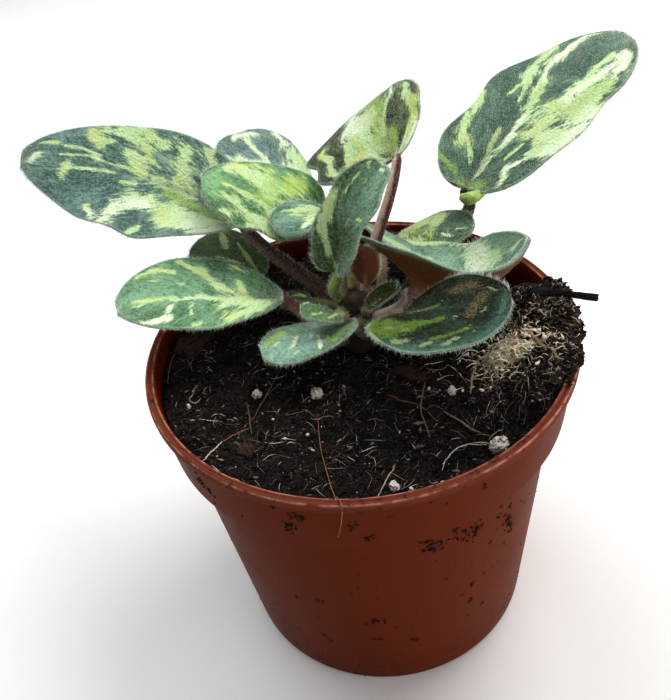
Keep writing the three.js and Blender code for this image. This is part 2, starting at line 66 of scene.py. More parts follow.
# The pot's lip, the top of its wall, how far soil keeps off it, and its sides at some heights, in millimetres
LIP_TOP = 77.0
LIP_OUTSIDE = 45.0
WALL_TOP = 76.2
POT_CLEARANCE = 0.12
INSIDE_HEIGHTS = (1.4, 62.4, 63.6, 74.4, 76.4)
INSIDE_RADII = (33.9, 39.4, 41.9, 42.7, 42.9)
OUTSIDE_HEIGHTS = (0, 61.5, 62.5, 74.4, 75.1)
OUTSIDE_RADII = (35, 40.5, 43, 44.2, 45)
DRAIN_HOLES = 6
DRAIN_CIRCLE = 27

# The crown's rings of radius and height, in millimetres
CROWN_RINGS = (
    (4.3, 66), (4.7, 69), (4.75, 72), (4.6, 75), (4.2, 77.5), (3.4, 79.4), (2.2, 80.8), (0.7, 81.4),
)

# Blade thickness in millimetres at its edge and at its middle, and the radius of a blade's curled lobe
EDGE_THICKNESS = 0.5
MIDDLE_THICKNESS = 1.3
LOBE_RADIUS = 1.55

# Hairs on a millimetre of a blade's edge, and on a millimetre of a stalk that is two millimetres thick
RIM_HAIRS = 14
STALK_HAIRS = 24

# How yellow a leaf's cream is, where the leaf has no warmth of its own
USUAL_WARMTH = 0.42

# A turn, as far as loose bits are turned at random
NEARLY_A_TURN = 6.28

# The camera's place in millimetres, the way it looks, its roll in radians and its frame in millimetres
CAMERA_PLACE = (-5.04, -131.63, 184.54)
CAMERA_FORWARD = (0, 0.7656, -0.6434)
CAMERA_ROLL = -0.1521
CAMERA_SENSOR = 36.0

# Each lamp's place and size in metres, its power in watts and its colour, and where all of them are aimed
LAMPS = {
    "key_light": ((0.35, 0.25, 0.75), 0.5, 4.6, (1.0, 0.98, 0.95)),
    "top_light": ((-0.25, 0.35, 0.7), 0.6, 3.0, (0.93, 0.97, 1.0)),
    "front_light": ((0.35, -0.6, 0.45), 0.6, 0.8, (1.0, 1.0, 1.0)),
    "side_light": ((0.6, -0.3, 0.12), 0.4, 1.5, (1.0, 0.95, 0.9)),
}
LAMP_AIM = (0, 0, 0.08)

# Each leaf: where its blade starts, its size, its midrib's way, roll, outline, folds and waves, its stalk,
# its colours (ground, second ground, underside, stalk, the stalk's left side with painted light), how far its
# side veins run forward for each millimetre outward (left, right), its bloom (how hairy and pale it looks,
# with its painted sheen, and when low, painted shade all over) and its markings.
# A marking is a kind, a stroke from (s, v) to (s, v) and its reach in half widths, all in hundredths.
# s runs from 0 at the base to 1 at the tip, v from -1 at the left edge to 1 at the right edge.
# Kinds: y yellow cream, w white cream, b bright green, g blue grey painted sheen, d dark green, r dry brown.
LEAVES = {
    "leaf_left_long": {
        "base": (-21.2, 27.5, 91.6), "length": 55.1, "width": 28.7,
        "heading": (141, 177), "pitch": (18, 13), "roll": (12, 34),
        "left_share": 0.53, "taper": 0.77, "round": 1.8, "fold": (-0.14, 0.01), "cup": 0.12,
        "base_fold": 0.47, "lobe": 0, "wave": (0.05, -0.01, 0.39),
        "stalk": {"azimuth": 114, "height": 70.1, "rise": 36, "end": (122, 33), "radius": 1.7},
        "colours": ((70, 102, 92), (132, 166, 156), (176, 168, 140), (72, 54, 50), (120, 96, 84)),
        "veins": (2.4, 2.5), "bloom_and_light": 1,
        "marks": [
            ("b", 10, -25, 35, -10, 10), ("y", 36, 70, 32, 25, 15), ("y", 31, 25, 24, 0, 7),
            ("y", 27, 90, 22, 72, 10), ("y", 44, 70, 52, 85, 6), ("y", 50, 60, 62, 85, 14),
            ("y", 55, 95, 68, 90, 10), ("y", 69, 52, 74, 85, 7), ("y", 66, 62, 73, 72, 6),
            ("y", 48, 10, 57, 42, 10), ("y", 42, 28, 50, 42, 3), ("y", 28, 0, 42, 6, 5),
            ("y", 42, 2, 70, 20, 3), ("y", 68, 30, 83, 50, 3.5), ("y", 69, 26, 84, 22, 3),
            ("y", 80, 2, 82, -35, 8), ("y", 60, -1, 76, -8, 3.5), ("y", 49, -12, 56, -17, 2.5),
            ("y", 8, -50, 45, -42, 20), ("y", 20, -70, 34, -65, 12), ("w", 4, -95, 15, -72, 20),
            ("w", 40, -42, 55, -60, 9), ("w", 53, -75, 58, -97, 12), ("d", 38, -64, 47, -80, 12),
            ("d", 34, -76, 35, -86, 7), ("d", 21, -95, 34, -95, 11), ("y", 37, -85, 41, -95, 5),
            ("w", 66, -80, 63, -93, 6), ("y", 86, 62, 92, 75, 6), ("w", 93, 30, 96, -20, 7),
        ],
    },
    "leaf_left_pale": {
        "base": (-3.2, 27, 90.9), "length": 27.8, "width": 20.6,
        "heading": (174, 185), "pitch": (30, 21), "roll": (16, 6),
        "left_share": 0.49, "taper": 0.89, "round": 2.36, "fold": (-0.3, -0.01), "cup": 0.05,
        "base_fold": 0.2, "lobe": 0, "wave": (0.07, 0.01, 0.43),
        "stalk": {"azimuth": 102, "height": 76.8, "rise": 27, "end": (149, 40), "radius": 1.4},
        "colours": ((74, 116, 70), (134, 182, 130), (170, 150, 110), (104, 84, 52), (140, 140, 84)),
        "veins": (-1.5, 1.4), "bloom_and_light": 0.8, "warmth": 0.6,
        "marks": [
            ("y", 20, 55, 45, 20, 30), ("y", 52, 50, 78, 80, 22), ("y", 45, 0, 56, 30, 12),
            ("d", 12, 92, 13, 50, 14), ("d", 36, 95, 38, 72, 9), ("d", 58, -5, 74, 22, 11),
            ("y", 44, -35, 62, -12, 7), ("y", 62, -14, 82, 6, 5), ("y", 50, -78, 82, -30, 13),
            ("y", 78, -75, 84, -85, 8), ("d", 44, -62, 60, -42, 4), ("y", 40, -88, 60, -92, 10),
            ("b", 22, 60, 45, 25, 25), ("g", 90, 70, 95, -40, 25), ("b", 45, -20, 55, -10, 10),
            ("y", 10, -30, 35, -50, 20),
        ],
    },
    "leaf_back_left": {
        "base": (-7.7, 39.1, 88.4), "length": 23.6, "width": 21.7,
        "heading": (136, 122), "pitch": (41, 20), "roll": (-3, -4),
        "left_share": 0.57, "taper": 1.07, "round": 2.2, "fold": (0.08, -0.03), "cup": 0.19,
        "base_fold": 0.06, "lobe": 0.02, "wave": (0, 0.02, 0.34),
        "stalk": {"azimuth": 76, "height": 73.2, "rise": 34, "end": (124, 37), "radius": 1.4},
        "colours": ((82, 112, 108), (142, 170, 164), (176, 172, 150), (120, 96, 84), (160, 150, 120)),
        "veins": (1.2, 1.3), "bloom_and_light": 1,
        "marks": [
            ("w", 20, 5, 88, -2, 7), ("y", 8, 90, 45, 78, 22), ("w", 30, 55, 38, 35, 8),
            ("w", 92, 50, 96, -40, 12), ("w", 62, 80, 78, 90, 10), ("y", 60, -45, 70, -70, 12),
            ("y", 10, -40, 30, -60, 18), ("w", 50, -10, 68, -50, 5),
        ],
    },
    "leaf_back_tall": {
        "base": (13.1, 18.4, 106.5), "length": 25.2, "width": 29.9,
        "heading": (102, 63), "pitch": (13, 9), "roll": (15, 24),
        "left_share": 0.7, "taper": 1.19, "round": 1.99, "fold": (-0.25, 0.15), "cup": 0.07,
        "base_fold": -0.07, "lobe": 0, "wave": (-0.09, 0.02, 0.21),
        "stalk": {"azimuth": 45, "height": 78.2, "rise": 86, "end": (68, 52), "radius": 1.25},
        "colours": ((32, 46, 14), (96, 118, 76), (206, 200, 176), (94, 50, 44), (226, 196, 182)),
        "veins": (5, 5), "bloom_and_light": 0.7, "warmth": 0.9,
        "marks": [
            ("y", 15, -25, 70, -30, 20), ("y", 5, -50, 40, -48, 14), ("w", 60, -36, 90, -75, 15),
            ("y", 30, 0, 75, 10, 5), ("y", 25, 90, 50, 75, 10), ("y", 50, 95, 62, 72, 8),
            ("y", 65, 62, 85, 75, 12), ("w", 8, 85, 20, 95, 10), ("w", 82, 22, 97, 8, 9),
            ("y", 5, 60, 20, 70, 12), ("d", 30, -65, 50, -70, 5), ("d", 50, -70, 62, -62, 4),
            ("d", 68, -68, 80, -90, 6), ("d", 35, -92, 60, -93, 4.5), ("d", 24, 50, 60, 32, 12),
            ("y", 20, -80, 60, -80, 5), ("b", 4, 12, 24, 18, 22), ("b", 70, -5, 93, -38, 13),
            ("b", 93, -40, 98, -85, 9), ("b", 10, -8, 60, -8, 7), ("b", 40, 85, 60, 80, 8),
            ("g", 85, 60, 93, 40, 18), ("r", 36, 48, 58, 50, 7), ("b", 30, -40, 60, -42, 5),
        ],
    },
    "leaf_centre": {
        "base": (-2.5, 5.1, 90), "length": 24.1, "width": 14.3,
        "heading": (46, 35), "pitch": (72, 22), "roll": (3, -20),
        "left_share": 0.44, "taper": 0.77, "round": 2.31, "fold": (0.6, 0.36), "cup": 0.37,
        "base_fold": 0.07, "lobe": 0, "wave": (0.05, 0.11, 0.39),
        "stalk": {"azimuth": 144, "height": 78.9, "rise": 36, "end": (0, 84), "radius": 1.3},
        "colours": ((58, 86, 38), (124, 158, 132), (110, 120, 84), (116, 122, 62), (176, 188, 104)),
        "veins": (2, 1.2), "bloom_and_light": 1,
        "marks": [
            ("y", 16, -40, 34, -72, 10), ("y", 35, -80, 56, -90, 17), ("y", 42, -62, 60, -85, 8),
            ("y", 64, -52, 82, -56, 5), ("y", 41, 2, 45, 5, 6), ("y", 48, 75, 49, 45, 3.5),
            ("w", 94, 55, 95, 20, 5), ("y", 3, 25, 7, 0, 10), ("g", 68, 50, 90, 35, 40),
            ("g", 72, 0, 92, -20, 28), ("g", 45, 10, 60, -10, 20), ("w", 78, -8, 82, -16, 3),
            ("y", 90, -50, 93, -75, 7),
        ],
    },
    "leaf_centre_small": {
        "base": (-2.9, 21.2, 94.8), "length": 11.8, "width": 11.3,
        "heading": (190, 194), "pitch": (5, -7), "roll": (0, 10),
        "left_share": 0.53, "taper": 1.05, "round": 2.06, "fold": (-0.07, 0.08), "cup": 0.19,
        "base_fold": 0.11, "lobe": 0.02, "wave": (-0.02, 0, 0.3),
        "stalk": {"azimuth": 94, "height": 80.2, "rise": 36, "end": (171, 30), "radius": 0.9},
        "colours": ((74, 112, 88), (134, 168, 150), (150, 160, 120), (140, 130, 96), (170, 170, 120)),
        "veins": (-2, 1.8), "bloom_and_light": 1,
        "marks": [
            ("y", 10, 40, 42, 45, 28), ("y", 20, 0, 30, -20, 20), ("w", 36, -56, 48, -70, 14),
            ("d", 32, 87, 46, 82, 9), ("y", 45, 35, 74, 64, 5), ("g", 75, 10, 90, 0, 30),
            ("y", 40, 5, 60, 22, 4.5), ("y", 10, -30, 22, -60, 18),
        ],
    },
    "leaf_right": {
        "base": (11.9, 3.2, 84.4), "length": 28.9, "width": 31,
        "heading": (-16, 16), "pitch": (-23, 61), "roll": (17, -18),
        "left_share": 0.62, "taper": 0.6, "round": 1.7, "fold": (-0.47, 0.67), "cup": 0.52,
        "base_fold": 0.91, "lobe": 0.67, "wave": (-0.06, -0.04, 0.57),
        "stalk": {"azimuth": -33, "height": 75.6, "rise": 26, "end": (-19, 86), "radius": 1.4},
        "colours": ((90, 122, 108), (156, 188, 166), (142, 82, 30), (150, 116, 104), (226, 206, 196)),
        "veins": (1.1, 1.1), "bloom_and_light": 0.8,
        "marks": [
            ("w", 54, -30, 60, -90, 13), ("w", 63, -40, 68, -84, 14), ("y", 71, -36, 74, -50, 5),
            ("y", 3, -92, 15, -74, 6), ("y", 15, -74, 30, -66, 3.5), ("w", 86, -26, 96, -34, 5),
            ("g", 20, -60, 90, -60, 30), ("y", 28, -97, 50, -97, 4), ("r", 83, -40, 84, -42, 2),
            ("r", 87, -50, 87.5, -54, 2), ("b", 10, 50, 50, 60, 20),
        ],
    },
    "leaf_right_small": {
        "base": (14.3, 32.9, 78.9), "length": 19.4, "width": 14,
        "heading": (-36, -30), "pitch": (22, 9), "roll": (2, -9),
        "left_share": 0.51, "taper": 1.09, "round": 1.86, "fold": (-0.01, -0.12), "cup": 0.14,
        "base_fold": -0.06, "lobe": 0, "wave": (0.02, 0, 0.17),
        "stalk": {"azimuth": 33, "height": 74.9, "rise": 32, "end": (-5, 27), "radius": 1.1},
        "colours": ((66, 92, 66), (116, 146, 122), (150, 150, 110), (120, 96, 70), (160, 140, 100)),
        "veins": (0.5, 0.5), "bloom_and_light": 0.8, "warmth": 0.9,
        "marks": [
            ("y", 3, 40, 20, -60, 50), ("y", 40, 20, 48, -70, 24), ("y", 25, 75, 40, 65, 20),
            ("d", 28, 32, 36, -10, 11), ("b", 24, 38, 37, -10, 14), ("w", 64, 30, 80, 55, 6),
            ("w", 80, 12, 90, 5, 6), ("b", 10, 30, 20, -60, 10),
        ],
    },
    "leaf_right_high": {
        "base": (29.8, 31.7, 88.7), "length": 57, "width": 30.4,
        "heading": (42, 20), "pitch": (33, 9), "roll": (-9, -8),
        "left_share": 0.49, "taper": 0.9, "round": 2.25, "fold": (-0.29, -0.07), "cup": 0.06,
        "base_fold": 0.27, "lobe": 0, "wave": (0.11, 0.04, -0.15),
        "stalk": {"azimuth": 25, "height": 71.3, "rise": 24, "end": (-136, 42), "radius": 1.6},
        "curl": ((28.6, 29.8, 88.3), (29.9, 28.6, 88.4), (31.9, 28.9, 88.5), (34.4, 31.0, 88.5)),
        "colours": ((56, 88, 70), (112, 146, 124), (186, 182, 150), (42, 25, 24), (64, 42, 38)),
        "veins": (1.4, 3.5), "bloom_and_light": 1,
        "marks": [
            ("w", 26, 85, 55, 95, 20), ("y", 25, 70, 36, 72, 12), ("y", 50, 68, 72, 80, 15),
            ("y", 30, 42, 46, 44, 9), ("y", 46, 35, 72, 52, 8), ("w", 55, 46, 90, 62, 7),
            ("y", 72, 38, 86, 40, 6), ("w", 80, 75, 90, 75, 12), ("w", 5, 85, 14, 52, 5),
            ("w", 14, 55, 22, 72, 4), ("d", 7, 97, 20, 87, 11), ("d", 14, 38, 28, 52, 5.5),
            ("d", 76, 95, 80, 85, 5), ("y", 18, 38, 27, 46, 2.5), ("w", 7, 8, 28, 17, 5),
            ("w", 28, 17, 42, 9, 5), ("y", 42, 9, 58, -10, 8), ("w", 58, -10, 76, -58, 3.5),
            ("y", 14, 5, 30, -10, 5.5), ("w", 72, -38, 92, -82, 10), ("y", 55, -34, 62, -50, 6),
            ("y", 62, -50, 78, -95, 12), ("y", 12, -20, 22, -50, 5), ("y", 20, -60, 36, -94, 11),
            ("y", 46, -18, 52, -28, 4.5), ("y", 47, -45, 53, -42, 3), ("y", 36, -90, 44, -97, 6),
            ("b", 50, 60, 70, 78, 12), ("b", 0, -40, 3, 40, 15), ("b", 6, -50, 10, -95, 6),
            ("r", 72, 2, 83, -14, 5), ("r", 68, 98, 70, 96, 3),
        ],
    },
    "leaf_front_right": {
        "base": (9.1, -5.7, 85.5), "length": 23.8, "width": 23.1,
        "heading": (-53, -6), "pitch": (27, 17), "roll": (8, -15),
        "left_share": 0.37, "taper": 0.71, "round": 1.83, "fold": (0.07, -0.02), "cup": 0.19,
        "base_fold": 0.1, "lobe": 0.04, "wave": (0, -0.02, 0.37),
        "stalk": {"azimuth": -46, "height": 71.1, "rise": 31, "end": (-54, 36), "radius": 1.5},
        # Painted shade: this leaf lies in deep shadow, so its ground colour is near black and its low bloom
        # dims it
        "colours": ((26, 32, 8), (86, 118, 104), (120, 90, 60), (96, 74, 62), (150, 126, 112)),
        "veins": (1.7, 1.7), "bloom_and_light": 0.1,
        "marks": [
            ("g", 35, 98, 85, 95, 17), ("g", 85, 88, 97, 30, 10), ("g", 96, 20, 98, -50, 6),
            ("b", 4, 90, 22, 78, 14), ("b", 12, 55, 30, 50, 14), ("b", 30, 40, 50, 26, 6),
            ("b", 15, 10, 40, -10, 5), ("b", 50, 70, 70, 60, 4), ("y", 32, 88, 38, 74, 5),
            ("y", 46, 86, 50, 78, 3), ("y", 60, 84, 64, 76, 4), ("y", 68, 60, 70, 55, 2),
            ("y", 78, 30, 80, 24, 3), ("y", 28, 62, 31, 55, 3), ("y", 85, -50, 89, -35, 4.5),
            ("y", 8, 97, 24, 99, 5), ("y", 58, 30, 60, 26, 2), ("y", 40, -20, 43, -24, 2),
            ("y", 18, 70, 21, 62, 3), ("y", 73, 70, 75, 66, 2), ("r", 70, 25, 80, -20, 14),
            ("r", 50, -50, 70, -60, 18),
        ],
    },
    "leaf_young_left": {
        "base": (-2.7, -1, 82.9), "length": 8.8, "width": 6.9,
        "heading": (178, 173), "pitch": (26, 17), "roll": (-13, 1),
        "left_share": 0.52, "taper": 1.02, "round": 2.12, "fold": (0.01, -0.17), "cup": 0.13,
        "base_fold": 0.02, "lobe": 0.05, "wave": (-0.02, 0, 0.36),
        "stalk": {"azimuth": -152, "height": 78.7, "rise": 22, "end": (204, 13), "radius": 0.8},
        "colours": ((72, 104, 56), (116, 150, 108), (120, 130, 80), (120, 112, 66), (170, 176, 104)),
        "veins": (0.5, 0.5), "bloom_and_light": 0.8,
        "marks": [("y", 5, 90, 20, 0, 10), ("y", 22, -5, 35, -60, 9), ("y", 50, 5, 70, -50, 10)],
    },
    "leaf_young_right": {
        "base": (2.6, 2.3, 81.8), "length": 8.6, "width": 5.6,
        "heading": (3, 3), "pitch": (38, 22), "roll": (1, -1),
        "left_share": 0.49, "taper": 0.92, "round": 2.11, "fold": (0.07, 0.07), "cup": 0.23,
        "base_fold": 0, "lobe": 0.01, "wave": (-0.01, 0, 0.26),
        "stalk": {"azimuth": -69, "height": 78.9, "rise": 25, "end": (-60, 50), "radius": 0.8},
        "colours": ((56, 70, 26), (88, 106, 52), (150, 134, 92), (120, 104, 66), (176, 160, 110)),
        "veins": (1, 1), "bloom_and_light": 0.6,
        "marks": [("y", 20, 50, 50, 30, 10), ("w", 90, 50, 95, -40, 10)],
    },
    "leaf_young_back": {
        "base": (3.4, 7.5, 84.4), "length": 10.4, "width": 6.8,
        "heading": (-100, -100), "pitch": (80, 86), "roll": (0, 0),
        "left_share": 0.5, "taper": 1, "round": 2, "fold": (0.2, 0.2), "cup": 0.25,
        "base_fold": 0, "lobe": 0, "wave": (0, 0, 0),
        "stalk": {"azimuth": -20, "height": 80.1, "rise": 60, "end": (-110, 75), "radius": 0.8},
        "colours": ((96, 60, 44), (150, 104, 88), (158, 92, 76), (150, 112, 60), (196, 170, 96)),
        "veins": (1, 1), "bloom_and_light": 0.6,
        "marks": [("w", 20, 90, 90, 90, 20)],
    },
    "leaf_front_low": {
        "base": (0.3, 0.2, 80.8), "length": 20.9, "width": 16.3,
        "heading": (193, 189), "pitch": (-3, -4), "roll": (-19, 4),
        "left_share": 0.48, "taper": 1.11, "round": 2.15, "fold": (-0.01, -0.23), "cup": 0.11,
        "base_fold": -0.07, "lobe": 0, "wave": (0.01, -0.01, 0.35),
        "stalk": {"azimuth": -90, "height": 73.9, "rise": 24, "end": (-120, 50), "radius": 1.2},
        "colours": ((76, 108, 72), (150, 186, 168), (130, 130, 90), (120, 120, 84), (160, 160, 116)),
        "veins": (0.4, 0.4), "bloom_and_light": 1,
        "marks": [
            ("g", 50, -30, 82, -50, 38), ("w", 42, -20, 45, -78, 6), ("w", 46, 12, 50, -22, 4.5),
            ("w", 62, 10, 70, -32, 5), ("w", 66, -55, 68, -66, 4), ("y", 33, -30, 35, -60, 3.5),
            ("b", 75, 60, 92, 40, 20), ("b", 10, -40, 30, -70, 20), ("w", 80, 15, 86, 0, 3),
            ("y", 16, -40, 18, -70, 3),
        ],
    },
    "leaf_left_low": {
        "base": (-14.2, 11.5, 81.1), "length": 35.6, "width": 22.8,
        "heading": (182, 193), "pitch": (14, 8), "roll": (11, 3),
        "left_share": 0.5, "taper": 1.29, "round": 1.84, "fold": (0.05, 0.13), "cup": 0.24,
        "base_fold": -0.01, "lobe": 0, "wave": (0.03, 0.01, 0.1),
        "stalk": {"azimuth": 219, "height": 72.4, "rise": 5, "end": (168, 42), "radius": 1.6},
        "colours": ((72, 114, 76), (134, 176, 140), (170, 160, 120), (96, 60, 50), (150, 120, 100)),
        "veins": (1, 1.6), "bloom_and_light": 1,
        "marks": [
            ("y", 24, -5, 27, 45, 7), ("y", 26, -5, 40, 32, 7), ("y", 40, 30, 48, 65, 8),
            ("y", 48, 65, 60, 90, 5.5), ("y", 22, 85, 30, 90, 8), ("y", 64, 68, 70, 76, 4),
            ("y", 72, 82, 85, 90, 6.5), ("y", 57, 34, 63, 40, 2.2), ("y", 75, 55, 80, 65, 3),
            ("y", 24, -22, 50, 2, 8), ("w", 50, 3, 66, -3, 4.5), ("y", 66, 5, 90, 10, 5),
            ("y", 82, 5, 88, -12, 6), ("y", 14, -45, 37, -30, 20), ("y", 14, -62, 32, -85, 17),
            ("w", 69, -20, 72, -60, 6), ("w", 72, -62, 86, -92, 10), ("y", 56, -15, 58, -50, 3.5),
            ("y", 53, -80, 56, -90, 5), ("g", 55, 20, 90, 30, 30),
        ],
    },
    "leaf_left_under": {
        "base": (-19.6, 25.4, 77.5), "length": 18.4, "width": 16.2,
        "heading": (137, 128), "pitch": (29, 10), "roll": (0, 1),
        "left_share": 0.61, "taper": 1.01, "round": 2.24, "fold": (-0.02, -0.01), "cup": 0.16,
        "base_fold": 0.08, "lobe": 0.01, "wave": (0.02, -0.01, 0.23),
        "stalk": {"azimuth": 167, "height": 71.6, "rise": 32, "end": (135, 31), "radius": 1.2},
        "colours": ((62, 94, 50), (108, 134, 92), (140, 130, 90), (104, 80, 62), (140, 120, 90)),
        "veins": (1.3, 1.6), "bloom_and_light": 1,
        "marks": [
            ("y", 12, 15, 40, 30, 10), ("y", 40, 35, 56, 46, 6), ("y", 65, 5, 78, 20, 10),
            ("y", 78, 30, 90, 62, 10), ("w", 30, -5, 60, -38, 4), ("g", 70, -30, 90, -40, 20),
        ],
    },
    "leaf_left_tiny": {
        "base": (-8.5, 15.6, 76.8), "length": 7.5, "width": 5.9,
        "heading": (193, 194), "pitch": (13, 1), "roll": (2, 4),
        "left_share": 0.52, "taper": 0.97, "round": 2.02, "fold": (-0.06, 0.03), "cup": 0.18,
        "base_fold": 0.04, "lobe": 0, "wave": (0.03, 0, 0.15),
        "stalk": {"azimuth": 137, "height": 74.9, "rise": 39, "end": (154, 14), "radius": 0.8},
        "colours": ((70, 86, 42), (106, 118, 74), (120, 110, 70), (120, 108, 66), (150, 150, 90)),
        "veins": (1, 1), "bloom_and_light": 0.8,
        "marks": [("y", 20, 30, 50, 50, 16), ("w", 20, -80, 30, -70, 12)],
    },
}
SLOTS = {
    "leaf_left_long": "leaf_green", "leaf_left_pale": "leaf_pale", "leaf_back_left": "leaf_blue",
    "leaf_back_tall": "leaf_pale", "leaf_centre": "leaf_dark", "leaf_centre_small": "leaf_blue",
    "leaf_right": "leaf_blue", "leaf_right_small": "leaf_pale", "leaf_right_high": "leaf_green",
    "leaf_front_right": "leaf_dark", "leaf_young_left": "leaf_green", "leaf_young_right": "leaf_dark",
    "leaf_young_back": "leaf_red", "leaf_front_low": "leaf_blue", "leaf_left_low": "leaf_green",
    "leaf_left_under": "leaf_green", "leaf_left_tiny": "leaf_dark",
}

# The larger loose pieces in the soil: place and half sizes in millimetres, turn and tilt in degrees
PERLITE = {
    "perlite_1": ((22, -31, 71.3), (1.9, 1.5, 1.5), 20),
    "perlite_2": ((-10.3, -9.4, 71), (1.35, 1.3, 1.2), 50),
    "perlite_3": ((-22.6, -6.8, 70.8), (1.05, 0.95, 1), 10),
    "perlite_4": ((16.7, -15, 71.3), (1, 0.85, 0.9), 70),
    "perlite_5": ((1.7, -37.3, 71.6), (0.8, 1.2, 0.9), 15),
}
BARK = {
    "bark_chip_1": ((-36, 10.6, 73), (4.4, 2.8, 0.8), 52, 6),
    "bark_chip_2": ((-25, -22.8, 71.4), (2.6, 1.6, 0.7), -60, -8),
    "bark_chip_3": ((9.8, -8.2, 70.8), (4, 1.3, 0.7), -35, 5),
}
SPLINTER_FROM = (38, 4, 78.3)
SPLINTER_TO = (49.4, -3, 79.9)
PATCH = ((30, -8.7, 73.7), (5.6, 4.4, 1.1), -16, -31)
PATCH_FIBRES = 420
PATCH_CHIPS = 620
PATCH_LOWEST = 60

# The white specks that the photo shows, with place and size in millimetres, and how many there are in all
SPECKS = [
    (10.5, -37, 0.55), (-13, -20.8, 0.5), (4.6, -38.4, 0.6), (-19.5, -14.8, 0.45), (-36.2, -9.6, 0.7),
    (-12.2, -24.5, 0.35), (12.4, -12.8, 0.5), (-17.3, -21.2, 0.35), (20.8, -35.4, 0.4), (15.2, -35.9, 0.4),
]
SPECK_COUNT = 150

# Strands that the photo shows: points in millimetres, radius, colour
STRANDS = [
    ([(-10.4, -15.9, 71.5), (-10.7, -21.9, 70.9), (-10.2, -28.9, 71.3), (-9.2, -37, 72.6),
      (-8.6, -41.6, 76.4), (-8, -43.6, 77.35), (-7.9, -44.9, 77), (-8.2, -44.7, 74.6),
      (-8.7, -43.6, 70.6), (-9.6, -43, 67)],
     0.14, (150, 104, 76)),
    ([(10.8, -34.4, 71), (12, -32.2, 71.6), (14.1, -30, 72), (16.8, -29, 71.9), (19.8, -29.8, 72.2)],
     0.16, (214, 206, 196)),
    ([(-33.4, -25.6, 73.9), (-31.2, -22.6, 72.8), (-29.7, -19.7, 72.1)], 0.16, (226, 214, 200)),
    ([(-29.9, -20, 72.2), (-27.2, -18, 71.9), (-24.2, -15.9, 71.3)], 0.15, (150, 106, 80)),
    ([(-31.2, -26.6, 73), (-29, -29.2, 72.8), (-26.6, -31, 72.3), (-24.6, -32.6, 72.5), (-23.4, -34.2, 72.2)],
     0.2, (206, 190, 172)),
    ([(-28.8, -29.4, 72.9), (-27.4, -31.8, 72.6), (-27, -33.2, 72.4)], 0.16, (206, 190, 172)),
    ([(-17.6, 0.3, 70.6), (-19.9, -5.6, 71), (-22.6, -10.7, 71)], 0.09, (140, 110, 90)),
    ([(-17, -3, 71), (-21, -8, 71.6), (-24, -14, 71.5)], 0.07, (150, 124, 104)),
    ([(34.4, -7.4, 76.9), (35.9, -13.6, 77.7), (37.6, -18.6, 78.3)], 0.5, (150, 130, 108)),
    ([(23.9, -6.7, 71.6), (21.6, -11, 71.4), (20, -16.4, 71.7)], 0.3, (168, 150, 126)),
    ([(23.9, -6.7, 71.6), (24.6, -10, 71.6), (23.6, -13, 71.4)], 0.18, (168, 150, 126)),
    ([(2.4, -32.9, 71.8), (0.8, -35.1, 72.2), (-2.2, -40.5, 72.6)], 0.14, (200, 184, 164)),
    ([(-24.8, -8.6, 71.3), (-24.2, -13.5, 71.4), (-23.8, -18.7, 71.9)], 0.22, (104, 76, 58)),
    ([(-38.9, 13, 73.9), (-40.6, 6.1, 74.6), (-41.2, -2, 74.9)], 0.08, (150, 132, 116)),
    ([(-34.6, -4.6, 72.9), (-36.2, -7.4, 73.2), (-35.2, -8.8, 73.1), (-34.2, -7, 73)], 0.2, (150, 136, 116)),
    ([(4, -13, 71.4), (9, -17, 71.9), (12, -22, 71.4)], 0.12, (146, 104, 78)),
    ([(12, -11, 71.8), (9.6, -19, 71.9), (10, -26, 71.4)], 0.16, (150, 122, 96)),
    ([(14, -20, 71.6), (17.4, -24.6, 71.8), (19.6, -27, 71.4)], 0.24, (150, 132, 112)),
]

# Soil that sticks to the pot's outside: azimuth in degrees, height and size in millimetres.
# Each is a cluster of crumbs, and single crumbs lie between them.
CRUMBS_IN_A_CLUSTER = 13
SINGLE_POT_CRUMBS = 900
POT_CRUMBS = [
    (-112, 71.8, 0.9), (-114, 68.8, 0.9), (-115, 66.2, 0.7), (-110, 71.5, 0.7), (-99, 70.5, 0.7),
    (-99, 69.1, 0.5), (-96, 65.6, 0.7), (-95, 66.5, 0.4), (-90, 71.8, 0.3), (-81, 56.9, 0.8),
    (-79, 55.4, 1.1), (-77, 53.8, 0.7), (-80, 54.8, 0.5), (-76, 59.3, 0.5), (-75, 62.2, 0.4),
    (-72, 58.1, 0.7), (-72, 54.8, 0.8), (-70, 53.5, 0.5), (-67, 54.8, 1.1), (-66, 52.8, 0.8),
    (-64, 54.1, 0.5), (-63, 54.8, 0.3), (-57, 53.3, 0.5), (-56, 56.5, 0.4), (-52, 53.5, 0.4),
    (-53, 57.5, 0.5), (-53, 58.9, 0.3), (-50, 57.9, 0.3), (-52, 49.2, 0.8), (-51, 46.3, 0.8),
    (-50, 43.6, 0.7), (-54, 51.6, 0.4), (-59, 45.6, 0.4), (-52, 40.3, 0.3), (-60, 34.6, 0.3),
    (-65, 33.6, 0.5), (-65, 32.8, 0.4), (-65, 27.1, 0.5), (-66, 26.4, 0.4), (-59, 21, 0.4), (-75, 41, 0.3),
    (-69, 31, 0.3), (-124, 34, 0.4), (-115, 35.5, 0.5), (-116, 36.1, 0.3), (-118, 27.1, 0.3),
    (-101, 27.8, 0.5), (-97, 29.1, 0.8), (-98, 29.3, 0.5), (-92, 25.7, 0.3), (-98, 20.9, 0.7),
    (-100, 21.3, 0.4), (-87, 18.7, 0.7), (-85, 18.3, 0.4), (-92, 12.6, 0.3), (-116, 17.4, 0.4),
    (-118, 18.9, 0.4), (-117, 73.5, 0.4), (-77, 71.7, 0.3), (-67, 71.8, 0.5), (-64, 56.8, 0.3),
    (-141, 70.7, 0.8), (-141, 74, 0.8), (-138, 68.4, 0.7), (-145, 74.4, 0.7),
]


